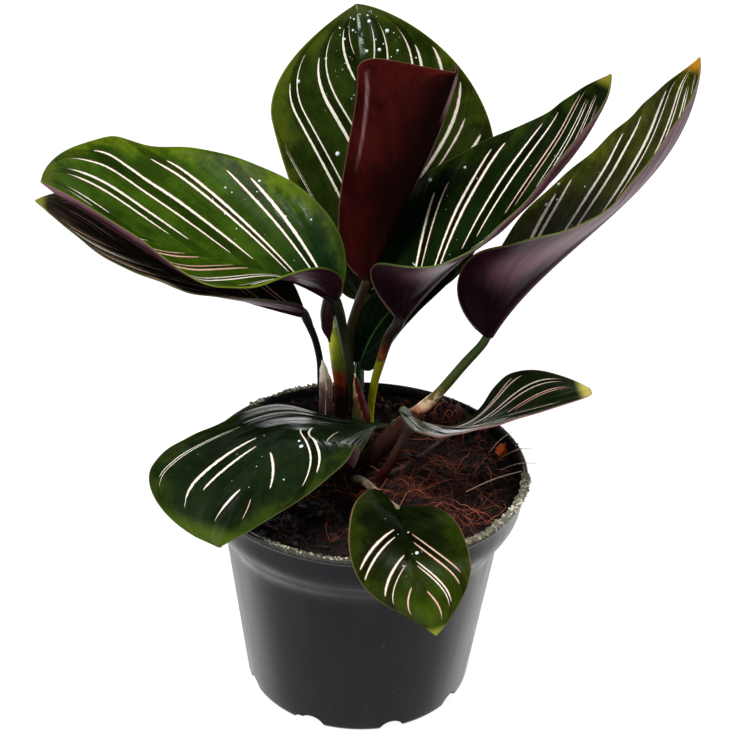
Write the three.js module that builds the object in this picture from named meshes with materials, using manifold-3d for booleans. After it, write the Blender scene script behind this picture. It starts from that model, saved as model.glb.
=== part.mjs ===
// A potted calathea: ten pin-striped leaf blades on their petioles, three bare sheaths, potting soil
// and a black nursery pot. Millimetres, +Z up, the origin at the centre of the pot's flat base.
// -Y is the front of the plant, +X its right.
import * as THREE from 'three';
import { mergeVertices } from 'three/addons/utils/BufferGeometryUtils.js';
import Module from 'manifold-3d';

const wasm = await Module();
wasm.setup();

// ---------------------------------------------------------------- driving dimensions
// pot
const POT_HEIGHT = 90;
const RIM_RADIUS = 60;
const BASE_RADIUS = 41.5;
const NECK_RADIUS = 52.4; // body radius just below the collar
const COLLAR_HEIGHT = 15;
const COLLAR_RADIUS = 57.2; // collar radius at its lower edge
const WALL = 1.5;
const FLOOR = 1.6;
const CORNER = 4.6; // size of the rounded bottom corner
const RIM_BAND = 2.2; // height of the thick bead along the rim
const POT_SEGMENTS = 54;
const NOTCH_COUNT = 9;
const NOTCH_FIRST = -66; // degrees from the front, towards +X
const NOTCH_RADIUS = 5;
const NOTCH_SUNK = 1.2; // how far the round of a notch is centred below the base
const NOTCH_REACH = [36.5, 46]; // from and to, measured out from the pot's axis

// soil
const SOIL_LEVEL = 84;
const SOIL_GAP = 0.3; // free space between the soil and the pot
const SOIL_RINGS = [51, 45, 38.5, 32, 25.5, 19, 12.5, 6];
const SOIL_SEGMENTS = 40;

// stems
const STEM_DEPTH = 14; // how deep each stem stands in the soil
const STEM_SIDES = 8;
const STEM_STEPS = 2; // rings for each stretch between two points of a stem
const HOLE_CLEARANCE = 0.35;
const BLADE_SEAT = 0.35; // free space between a blade's base and its petiole
const STALK_LEAD = 4; // straight stretch of petiole behind a blade's base

// blades
const BLADE_THICKNESS = 0.7;
const MIDRIB_RELIEF = 0.5; // extra thickness on the underside along the midrib, at the base
const MIN_HALF_WIDTH = 0.8;
const BIG_BLADE = { rows: 18, columns: 10 };
const SMALL_BLADE = { rows: 12, columns: 8 };

// ---------------------------------------------------------------- blades
// A blade hangs on its midrib, a Bezier curve through space from base to tip. "facing" is where
// the green face looks at the base and at the tip. Each half blade has its widest place (belly,
// 0 at the base and 1 at the tip), its width there, the sharpness of its point, the angle at which
// it leaves the midrib (lift) and the angle that it turns further up to its margin (curl), both
// in degrees at the base, the middle and the tip. root and swell shape the lobe at the base.
function half(belly, point, width, lift, curl, extra = {}) {
  return { belly, point, width, lift, curl, root: 0.55, swell: 2.2, start: 0, ...extra };
}

const BLADES = {
  back: {
    rib: [[-1, 40, 138], [5, 38, 169], [-1, 52, 202], [-8, 54, 246]],
    facing: [[0.23, -0.94, 0.25], [0.1, -0.95, 0.3]],
    right: half(0.54, 0.63, 44, [14, 12, 7], [20, 18, 13]),
    left: half(0.72, 0.92, 37, [24, 16, -1], [36, 20, 1]),
    size: BIG_BLADE,
  },
  folded: {
    rib: [[-1, 14, 159], [5, 22, 175], [30, 10, 229], [26, 8, 243.5]],
    facing: [[0, 1, 0.1], [0, 1, 0.2]],
    right: half(0.93, 0.42, 37, [14, 16, 8], [22, 22, 12], { root: 0.6, swell: 1 }),
    left: half(0.7, 1.2, 26, [90, 130, 110], [-5, -10, -10], { root: 0.8, swell: 1.4 }),
    size: BIG_BLADE,
  },
  left_upper: {
    rib: [[-12, 0, 158], [-38, 3, 175], [-77, -4, 172], [-108, -20, 209]],
    facing: [[0.1, -0.25, 0.95], [0.3, -0.3, 0.9]],
    right: half(0.7, 0.7, 42, [38, 10, -4], [44, 16, -2]),
    left: half(0.51, 1.35, 42, [60, 18, 43], [35, 25, 38]),
    size: BIG_BLADE,
  },
  left_lower: {
    rib: [[-23, -4, 155], [-53, -10, 164], [-86, -9, 178], [-111, -16, 200]],
    facing: [[0, 0, 1], [0, 0, 1]],
    right: half(0.52, 0.87, 32, [18, 13, 10], [21, 17, 13]),
    left: half(0.53, 0.94, 32, [24, 9, 4], [29, 19, 13]),
    size: BIG_BLADE,
  },
  right_upper: {
    rib: [[11, 1, 151], [32, 18, 176], [71, -6, 207], [76, 0, 244.5]],
    facing: [[-0.9, -0.1, 0.15], [-0.05, -0.35, 0.95]],
    right: half(0.22, 0.8, 39, [50, 27, 56], [31, 19, 25]),
    left: half(0.33, 0.89, 39, [24, 1, -9], [27, 7, -6]),
    size: BIG_BLADE,
  },
  right_far: {
    rib: [[42, 3, 144], [62, 20, 175], [109, 7, 201], [106, 11, 247]],
    facing: [[-0.85, 0.15, 0.5], [-0.2, -0.3, 0.9]],
    right: half(0.35, 0.89, 38, [65, 25, 59], [33, 16, 20]),
    left: half(0.36, 0.93, 38, [13, 3, 3], [14, 11, 12]),
    size: BIG_BLADE,
  },
  drooping: {
    rib: [[11, 12, 101], [-33, -13, 109], [-28, -14, 129], [-48, -57, 92]],
    facing: [[-0.25, -0.35, 0.7], [-0.7, -0.65, 0.55]],
    right: half(0.85, 0.47, 37, [-17, -2, 22], [-28, -10, 14], { root: 1.2 }),
    left: half(0.62, 1, 34, [8, 3, -8], [6, -2, -12], { root: 0.9, start: 0.06 }),
    size: BIG_BLADE,
  },
  front: {
    rib: [[12, -30, 92], [16, -49, 102], [14, -75, 96], [26, -76, 72]],
    facing: [[0.2, -0.4, 0.9], [-0.3, -0.95, 0.1]],
    right: half(0.42, 0.85, 20, [30, 6, -18], [30, 4, -25]),
    left: half(0.65, 0.85, 20, [14, 2, -8], [12, 0, -11]),
    size: SMALL_BLADE,
  },
  right_low: {
    rib: [[13, -2, 115.5], [36, -12, 106], [44, -14, 123], [78, -10, 131.5]],
    facing: [[0.1, 0.3, 0.95], [0, 0, 1]],
    right: half(0.53, 0.2, 20, [-3, 9, 12], [-2, 10, 20]),
    left: half(0.4, 0.9, 20, [-12, 8, 28], [-12, 5, 24], { root: 1, start: 0.3 }),
    size: SMALL_BLADE,
  },
  young: {
    rib: [[-3, 26, 117], [0, 25, 129], [5, 30, 143], [32, 30, 158]],
    facing: [[-0.3, -0.75, 0.6], [-0.4, -0.75, 0.5]],
    right: half(0.39, 0.55, 12, [19, 18, 11], [31, 24, 15]),
    left: half(0.4, 0.65, 9, [10, 10, 10], [21, 17, 13]),
    size: SMALL_BLADE,
  },
};

// ---------------------------------------------------------------- stems
// Each stem is a list of points [x, y, z, radius] from its top to the soil. A petiole carries the
// blade of its own name: its first two points follow from that blade's base, with radii "head".
const PETIOLES = {
  back: { head: [1.6, 1.6], points: [[-3, 40, 112, 1.9], [-3, 40, 84, 2.3]] },
  folded: {
    head: [1.6, 1.6],
    points: [[-6.5, 19, 135, 1.8], [-7, 25.3, 112, 2], [-9.5, 32.5, 84, 2.3]],
  },
  left_upper: {
    head: [1.5, 1.5],
    points: [[-8.5, 9, 137, 1.8], [-7, 14, 119.5, 2.4], [-6.5, 19.5, 100.5, 3], [-6, 22, 84, 3.2]],
  },
  left_lower: {
    head: [1.5, 1.5],
    points: [[-19, 8, 134, 1.6], [-17, 17, 108, 1.8], [-17, 23, 84, 2.2]],
  },
  right_upper: {
    head: [1.6, 1.7],
    points: [[7, 14, 126.5, 2], [2.3, 23, 100.5, 2.4], [3, 28, 84, 2.6]],
  },
  right_far: {
    head: [1.5, 1.6],
    points: [[34.5, 2, 133, 1.9], [26, 3, 120, 2.4], [16, 4, 108, 3.4], [7, 5.5, 96, 3.8], [1, 6, 84, 3.6]],
  },
  drooping: { head: [1.4, 1.5], points: [[12, 17, 93, 1.7], [9, 20, 84, 2.2]] },
  front: { head: [1.1, 1.2], points: [[6, -18, 89, 1.4], [0, -8, 88, 1.6], [-3, -2, 84, 1.8]] },
  right_low: { head: [1.3, 1.4], points: [[13, -6, 103, 1.7], [9, -3, 92, 2.2], [8, 0, 84, 2.3]] },
  young: { head: [1.2, 1.3], points: [[-2.5, 28, 100, 1.6], [-3, 31, 84, 2]] },
};

const SHEATHS = {
  green: [[-12.8, 17, 142, 0.6], [-12.3, 19, 129, 2.3], [-11, 22, 112, 2], [-11.5, 26.5, 84, 2.2]],
  red: [[-4.4, 11, 126.6, 0.5], [-1.2, 14, 113.5, 2], [1.8, 17, 99, 2.3], [2.5, 18.5, 84, 2.4]],
  dry: [[-15.5, 9, 125, 0.5], [-13.6, 13.5, 108, 2], [-13.5, 17, 84, 1.7]],
};

// ---------------------------------------------------------------- materials
const POT_BLACK = { color: 0x2a2b2d, roughness: 0.42, metalness: 0 };
const SOIL_BROWN = { color: 0x35241b, roughness: 0.95, metalness: 0 };
const LEAF_GREEN = { color: 0x2c4a24, roughness: 0.4, metalness: 0 };
const LEAF_BURGUNDY = { color: 0x4a1c2a, roughness: 0.5, metalness: 0 };
const STEM_OLIVE = { color: 0x55552a, roughness: 0.5, metalness: 0 };
const STEM_DARK = { color: 0x262b1e, roughness: 0.5, metalness: 0 };
const STEM_YELLOW_GREEN = { color: 0x8f9a34, roughness: 0.5, metalness: 0 };
const STEM_BURGUNDY = { color: 0x5a2f2a, roughness: 0.5, metalness: 0 };
const SHEATH_DRY = { color: 0xc8ab8c, roughness: 0.8, metalness: 0 };

const PETIOLE_FINISH = {
  left_lower: STEM_DARK,
  right_upper: STEM_YELLOW_GREEN,
  right_far: STEM_BURGUNDY,
  right_low: STEM_BURGUNDY,
};
const SHEATH_FINISH = { green: STEM_YELLOW_GREEN, red: STEM_BURGUNDY, dry: SHEATH_DRY };

function named(name, geometry, finish) {
  const mesh = new THREE.Mesh(geometry, new THREE.MeshStandardMaterial(finish));
  mesh.name = name;
  return mesh;
}

// ---------------------------------------------------------------- closed meshes
function closedGeometry(positions, triangles) {
  const geometry = new THREE.BufferGeometry();
  geometry.setAttribute('position', new THREE.Float32BufferAttribute(positions, 3));
  geometry.setIndex(triangles);
  return geometry;
}

function signedVolume(position, index) {
  const [a, b, c] = [new THREE.Vector3(), new THREE.Vector3(), new THREE.Vector3()];
  let volume = 0;
  for (let i = 0; i < index.length; i += 3) {
    a.fromBufferAttribute(position, index[i]);
    b.fromBufferAttribute(position, index[i + 1]);
    c.fromBufferAttribute(position, index[i + 2]);
    volume += a.dot(b.cross(c)) / 6;
  }
  return volume;
}

// Shared vertices are merged, slivers of no area go, and the faces are turned to point out.
function welded(geometry) {
  geometry.deleteAttribute('normal');
  geometry.deleteAttribute('uv');
  const merged = mergeVertices(geometry, 1e-3);
  const index = [];
  const source = merged.index.array;
  for (let i = 0; i < source.length; i += 3) {
    const [a, b, c] = source.slice(i, i + 3);
    if (a !== b && b !== c && c !== a) index.push(a, b, c);
  }
  if (signedVolume(merged.attributes.position, index) < 0) index.reverse();
  merged.setIndex(index);
  return merged;
}

function toSolid(geometry) {
  const closed = welded(geometry);
  return new wasm.Manifold(new wasm.Mesh({
    numProp: 3,
    vertProperties: new Float32Array(closed.attributes.position.array),
    triVerts: new Uint32Array(closed.index.array),
  }));
}

function fromSolid(solid) {
  const mesh = solid.getMesh();
  const positions = [];
  for (let i = 0; i < mesh.vertProperties.length; i += mesh.numProp) {
    positions.push(...mesh.vertProperties.slice(i, i + 3));
  }
  return closedGeometry(positions, Array.from(mesh.triVerts));
}

// ---------------------------------------------------------------- blade surface
function through(values, u) { // the curve through a value at the base, the middle and the tip
  const [base, middle, tip] = values;
  return base * (1 - u) * (1 - 2 * u) + middle * 4 * u * (1 - u) + tip * u * (2 * u - 1);
}

function halfWidth(side, along) {
  const u = Math.max(0, (along - side.start) / (1 - side.start));
  const shape = u < side.belly
    ? (1 - ((side.belly - u) / side.belly) ** side.swell) ** side.root
    : (1 - ((u - side.belly) / (1 - side.belly)) ** 2) ** side.point;
  return Math.max(MIN_HALF_WIDTH, side.width * shape);
}

// The midrib point at u with its tangent, the direction of the green face and the side direction.
function ribFrame(blade, u) {
  const rib = new THREE.CubicBezierCurve3(...blade.rib.map((p) => new THREE.Vector3(...p)));
  const tangent = rib.getTangent(u);
  const facing = new THREE.Vector3(...blade.facing[0]).multiplyScalar(1 - u)
    .addScaledVector(new THREE.Vector3(...blade.facing[1]), u);
  const normal = facing.addScaledVector(tangent, -facing.dot(tangent)).normalize();
  return { point: rib.getPoint(u), tangent, normal, side: tangent.clone().cross(normal) };
}

// v runs from -1 at the left margin through 0 on the midrib to 1 at the right margin. Across a
// half blade the surface is an arc that starts at the lift angle and turns on by the curl angle.
function bladePoint(blade, frame, u, v) {
  const side = v < 0 ? blade.left : blade.right;
  const across = Math.abs(v);
  const width = halfWidth(side, u);
  const lift = THREE.MathUtils.degToRad(through(side.lift, u));
  let curl = THREE.MathUtils.degToRad(through(side.curl, u));
  if (Math.abs(curl) < 1e-4) curl = 1e-4;
  const end = lift + curl * across;
  const out = width * (Math.sin(end) - Math.sin(lift)) / curl;
  const up = width * (Math.cos(lift) - Math.cos(end)) / curl;
  return frame.point.clone()
    .addScaledVector(frame.side, Math.sign(v) * out)
    .addScaledVector(frame.normal, up);
}

function eased(step, steps) { // closer together at both ends
  const t = step / steps;
  return t + 0.6 * ((1 - Math.cos(Math.PI * t)) / 2 - t);
}

// A closed solid: the green face, the underside below it along the face's normals, and the margin.
function bladeGeometry(blade) {
  const { rows, columns } = blade.size;
  const upper = [];
  for (let i = 0; i <= rows; i += 1) {
    const u = eased(i, rows);
    const frame = ribFrame(blade, u);
    for (let j = 0; j <= columns; j += 1) upper.push(bladePoint(blade, frame, u, (2 * j) / columns - 1));
  }
  const at = (i, j) => i * (columns + 1) + j;
  const face = [];
  for (let i = 0; i < rows; i += 1) {
    for (let j = 0; j < columns; j += 1) {
      const [a, b, c, d] = [at(i, j), at(i, j + 1), at(i + 1, j + 1), at(i + 1, j)];
      const shorter = upper[a].distanceTo(upper[c]) < upper[b].distanceTo(upper[d]);
      face.push(...(shorter ? [a, b, c, a, c, d] : [a, b, d, b, c, d]));
    }
  }
  const top = closedGeometry(upper.flatMap((p) => p.toArray()), face);
  top.computeVertexNormals();
  const normal = new THREE.Vector3();
  const { tangent } = ribFrame(blade, 0);
  const lower = upper.map((p, k) => {
    normal.fromBufferAttribute(top.attributes.normal, k);
    const onRib = k % (columns + 1) === columns / 2;
    const row = Math.floor(k / (columns + 1));
    if (row === 0) normal.addScaledVector(tangent, -normal.dot(tangent)).normalize(); // flat seat
    const depth = BLADE_THICKNESS + (onRib ? MIDRIB_RELIEF * (1 - row / rows) : 0);
    return p.clone().addScaledVector(normal, -depth);
  });
  const count = upper.length;
  const under = [];
  for (let k = 0; k < face.length; k += 3) {
    under.push(face[k] + count, face[k + 2] + count, face[k + 1] + count);
  }
  const margin = [];
  const around = [];
  for (let j = 0; j < columns; j += 1) around.push(at(0, j));
  for (let i = 0; i < rows; i += 1) around.push(at(i, columns));
  for (let j = columns; j > 0; j -= 1) around.push(at(rows, j));
  for (let i = rows; i > 0; i -= 1) around.push(at(i, 0));
  around.forEach((a, k) => {
    const b = around[(k + 1) % around.length];
    margin.push(b, a, a + count, b, a + count, b + count);
  });
  return welded(closedGeometry([...upper, ...lower].flatMap((p) => p.toArray()), [...face, ...under, ...margin]));
}

// ---------------------------------------------------------------- stems
function petiolePoints(name) {
  const { head, points } = PETIOLES[name];
  const { point, tangent } = ribFrame(BLADES[name], 0);
  const seat = point.clone().addScaledVector(tangent, -BLADE_SEAT);
  const lead = point.clone().addScaledVector(tangent, -STALK_LEAD);
  return [[...seat.toArray(), head[0]], [...lead.toArray(), head[1]], ...points];
}

function intoSoil(points) { // goes on straight down from where it meets the soil
  const [x, y, z, radius] = points[points.length - 1];
  return [...points, [x, y, z - STEM_DEPTH, radius]];
}

// A round rod through the points, with the radius of each. Its rings keep their turn along the
// way. "grow" adds to the radius and lengthens the far end, which gives the hole for a stem.
function rodGeometry(points, grow = 0) {
  const curve = new THREE.CatmullRomCurve3(points.map(([x, y, z]) => new THREE.Vector3(x, y, z)), false, 'centripetal');
  const stretches = points.length - 1;
  const rings = stretches * STEM_STEPS;
  const positions = [];
  const across = new THREE.Vector3(1, 0, 0);
  for (let i = 0; i <= rings; i += 1) {
    const t = i / rings;
    const tangent = curve.getTangent(t);
    across.addScaledVector(tangent, -across.dot(tangent)).normalize();
    const other = tangent.clone().cross(across);
    const centre = curve.getPoint(t);
    if (i === rings) centre.addScaledVector(tangent, grow);
    const from = Math.min(Math.floor(t * stretches), stretches - 1);
    const radius = THREE.MathUtils.lerp(points[from][3], points[from + 1][3], t * stretches - from) + grow;
    for (let k = 0; k < STEM_SIDES; k += 1) {
      const angle = (2 * Math.PI * k) / STEM_SIDES;
      positions.push(...centre.clone()
        .addScaledVector(across, radius * Math.cos(angle))
        .addScaledVector(other, radius * Math.sin(angle)).toArray());
    }
  }
  const triangles = [];
  for (let i = 0; i < rings; i += 1) {
    for (let k = 0; k < STEM_SIDES; k += 1) {
      const next = (k + 1) % STEM_SIDES;
      const [a, b, c, d] = [i * STEM_SIDES + k, i * STEM_SIDES + next, (i + 1) * STEM_SIDES + next, (i + 1) * STEM_SIDES + k];
      triangles.push(a, b, c, a, c, d);
    }
  }
  const last = rings * STEM_SIDES;
  for (let k = 1; k < STEM_SIDES - 1; k += 1) triangles.push(0, k + 1, k, last, last + k, last + k + 1);
  return welded(closedGeometry(positions, triangles));
}

// ---------------------------------------------------------------- pot
const COLLAR_Z = POT_HEIGHT - COLLAR_HEIGHT;

function innerProfile() { // from the floor's edge up to the rim
  return [
    [BASE_RADIUS - CORNER - WALL / 2, FLOOR],
    [BASE_RADIUS - WALL * 1.9, FLOOR + CORNER / 2],
    [BASE_RADIUS - WALL * 0.9, FLOOR + CORNER],
    [NECK_RADIUS - WALL, COLLAR_Z - WALL],
    [COLLAR_RADIUS - WALL, COLLAR_Z + WALL],
    [RIM_RADIUS - WALL - 0.8, POT_HEIGHT - RIM_BAND],
    [RIM_RADIUS - WALL, POT_HEIGHT],
  ];
}

function outerProfile() { // from the rim down to the base
  return [
    [RIM_RADIUS, POT_HEIGHT],
    [RIM_RADIUS, POT_HEIGHT - RIM_BAND],
    [RIM_RADIUS - 0.9, POT_HEIGHT - RIM_BAND - 0.6],
    [COLLAR_RADIUS, COLLAR_Z],
    [NECK_RADIUS, COLLAR_Z],
    [BASE_RADIUS, CORNER],
    [BASE_RADIUS - CORNER * 0.32, CORNER * 0.36],
    [BASE_RADIUS - CORNER, 0],
  ];
}

function turned(profile, segments) {
  const points = profile.map(([r, z]) => new THREE.Vector2(r, z));
  return new THREE.LatheGeometry(points, segments).rotateX(Math.PI / 2);
}

function notchGeometry(degrees) { // an arch that cuts through the bottom corner
  const angle = THREE.MathUtils.degToRad(degrees);
  const [from, to] = NOTCH_REACH;
  const middle = (from + to) / 2;
  return new THREE.CylinderGeometry(NOTCH_RADIUS, NOTCH_RADIUS, to - from, 20)
    .rotateZ(angle)
    .translate(Math.sin(angle) * middle, -Math.cos(angle) * middle, -NOTCH_SUNK);
}

function potGeometry() {
  const profile = [[0, FLOOR], ...innerProfile(), ...outerProfile(), [0, 0]];
  let pot = toSolid(turned(profile, POT_SEGMENTS));
  for (let k = 0; k < NOTCH_COUNT; k += 1) {
    pot = pot.subtract(toSolid(notchGeometry(NOTCH_FIRST + (k * 360) / NOTCH_COUNT)));
  }
  return fromSolid(pot);
}

// ---------------------------------------------------------------- soil
function soilRelief(x, y) { // coarse clumps, with a heap at the back right
  const clumps = 0.8 * Math.sin(x / 6.1 + 0.7) * Math.cos(y / 7.3) + 0.5 * Math.sin((x + y) / 3.7);
  const heap = 1.8 * Math.exp(-((x - 32) ** 2 + (y - 30) ** 2) / 160);
  return clumps + heap;
}

function innerRadiusAt(height) {
  const wall = innerProfile();
  const k = wall.findIndex(([, z]) => z > height);
  const [[r0, z0], [r1, z1]] = [wall[k - 1], wall[k]];
  return r0 + ((r1 - r0) * (height - z0)) / (z1 - z0);
}

function soilGeometry(rods) {
  const edge = innerRadiusAt(SOIL_LEVEL) - SOIL_GAP;
  const wall = innerProfile().filter(([, z]) => z < SOIL_LEVEL).map(([r, z]) => [r - SOIL_GAP, z + SOIL_GAP]);
  const top = SOIL_RINGS.map((r) => [r, SOIL_LEVEL]);
  const profile = [[0, FLOOR + SOIL_GAP], ...wall, [edge, SOIL_LEVEL], ...top, [0, SOIL_LEVEL]];
  const body = turned(profile, SOIL_SEGMENTS);
  const position = body.attributes.position;
  for (let i = 0; i < position.count; i += 1) {
    const [x, y, z] = [position.getX(i), position.getY(i), position.getZ(i)];
    if (z > SOIL_LEVEL - 0.01) position.setZ(i, z + soilRelief(x, y));
  }
  let soil = toSolid(body);
  for (const points of rods) soil = soil.subtract(toSolid(rodGeometry(points, HOLE_CLEARANCE)));
  return fromSolid(soil);
}

// ---------------------------------------------------------------- the plant
const plant = new THREE.Group();
const stems = new THREE.Group();
const leaves = new THREE.Group();
const rods = [];

for (const name of Object.keys(PETIOLES)) {
  const points = intoSoil(petiolePoints(name));
  rods.push(points);
  stems.add(named(`petiole_${name}`, rodGeometry(points), PETIOLE_FINISH[name] ?? STEM_OLIVE));
}
for (const [name, path] of Object.entries(SHEATHS)) {
  const points = intoSoil(path);
  rods.push(points);
  stems.add(named(`sheath_${name}`, rodGeometry(points), SHEATH_FINISH[name]));
}
for (const [name, blade] of Object.entries(BLADES)) {
  const finish = name === 'folded' ? LEAF_BURGUNDY : LEAF_GREEN;
  leaves.add(named(`leaf_${name}`, bladeGeometry(blade), finish));
}
plant.add(named('pot', potGeometry(), POT_BLACK), named('soil', soilGeometry(rods), SOIL_BROWN), stems, leaves);

export default plant;
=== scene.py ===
"""A potted calathea with pin-striped leaves in a black nursery pot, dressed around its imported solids."""

import math
import random

import bpy
import numpy as np
from bpy.props import BoolProperty, FloatProperty, FloatVectorProperty, IntProperty, PointerProperty
from mathutils import Matrix, Vector, noise


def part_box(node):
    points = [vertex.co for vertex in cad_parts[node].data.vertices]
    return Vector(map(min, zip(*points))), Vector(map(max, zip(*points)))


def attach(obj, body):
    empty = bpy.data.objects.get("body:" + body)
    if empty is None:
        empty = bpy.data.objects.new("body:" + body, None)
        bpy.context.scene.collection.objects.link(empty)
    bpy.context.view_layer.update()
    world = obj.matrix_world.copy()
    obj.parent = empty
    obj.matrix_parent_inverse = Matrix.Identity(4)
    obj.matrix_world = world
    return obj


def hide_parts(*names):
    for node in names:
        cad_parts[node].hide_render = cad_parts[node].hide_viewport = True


bl_info = {
    "name": "Potted calathea",
    "version": (1, 0, 0),
    "blender": (4, 5, 0),
    "location": "3D View > Sidebar > Calathea",
    "description": "Dresses a potted calathea: striped leaves, stems, soil, dew and a nursery pot",
    "category": "Add Mesh",
}

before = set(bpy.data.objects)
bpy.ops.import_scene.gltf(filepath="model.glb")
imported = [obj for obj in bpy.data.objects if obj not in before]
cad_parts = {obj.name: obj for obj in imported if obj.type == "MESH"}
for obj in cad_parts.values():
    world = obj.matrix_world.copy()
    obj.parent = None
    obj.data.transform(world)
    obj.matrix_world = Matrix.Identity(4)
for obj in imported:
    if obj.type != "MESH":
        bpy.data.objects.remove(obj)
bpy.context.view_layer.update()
POT_FOOT, POT_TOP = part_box("pot")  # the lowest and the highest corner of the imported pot's box

MM = 0.001  # the plant is worked out in millimetres and stored in metres
FULL_TURN = 2 * math.pi


def linear(red, green, blue):
    """A colour given as 0 to 255 on screen, turned into scene-linear values."""
    values = [channel / 255 for channel in (red, green, blue)]
    return tuple(v / 12.92 if v <= 0.04045 else ((v + 0.055) / 1.055) ** 2.4 for v in values)


# ---------------- the plant's own form
# Millimetres and degrees. A blade hangs on its midrib, a Bezier curve from base to tip, and its
# green face looks along "facing" at the base and at the tip.
PLAIN_PAIRS = ((-0.02, 0.02), (0.15, 0.02), (0.31, 0.024), (0.47, 0.022), (0.64, 0.022), (0.8, 0.02))
USUAL_LINE = (0.08, 0.86, 1.0)
USUAL_HALF = dict(
    sweep=0.5, spread=0.4, stop=0.93, root=0.55, swell=2.2, start=0.0, wave=1.0, rucks=(), lean=0.0, drip=0.0
)


def half(belly, point, width, lift, curl, *pairs, **extra):
    """One half blade: its widest place, the sharpness of its point, its width, how far it leaves the
    midrib (lift) and turns up (curl) at the base, the middle and the tip, and its pairs of pin
    stripes. A pair has its place on the midrib, which runs from 0 to 1, half the gap between its two
    lines, none for a single line, then where they begin and end across the half and how broad they are.

    extra may give how far the stripes sweep ahead and how they spread towards the tip, where they
    stop, how the base widens (root, swell) and where it starts, the margin's wave, its rucks as
    (centre, breadth, height), how far it leans ahead, and the drip tip's share of the blade."""
    shape = dict(belly=belly, point=point, width=width, lift=lift, curl=curl)
    pairs = [(*pair, *USUAL_LINE[len(pair) - 2 :]) for pair in pairs or PLAIN_PAIRS]
    return {**USUAL_HALF, **shape, "pairs": pairs, **extra}


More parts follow.
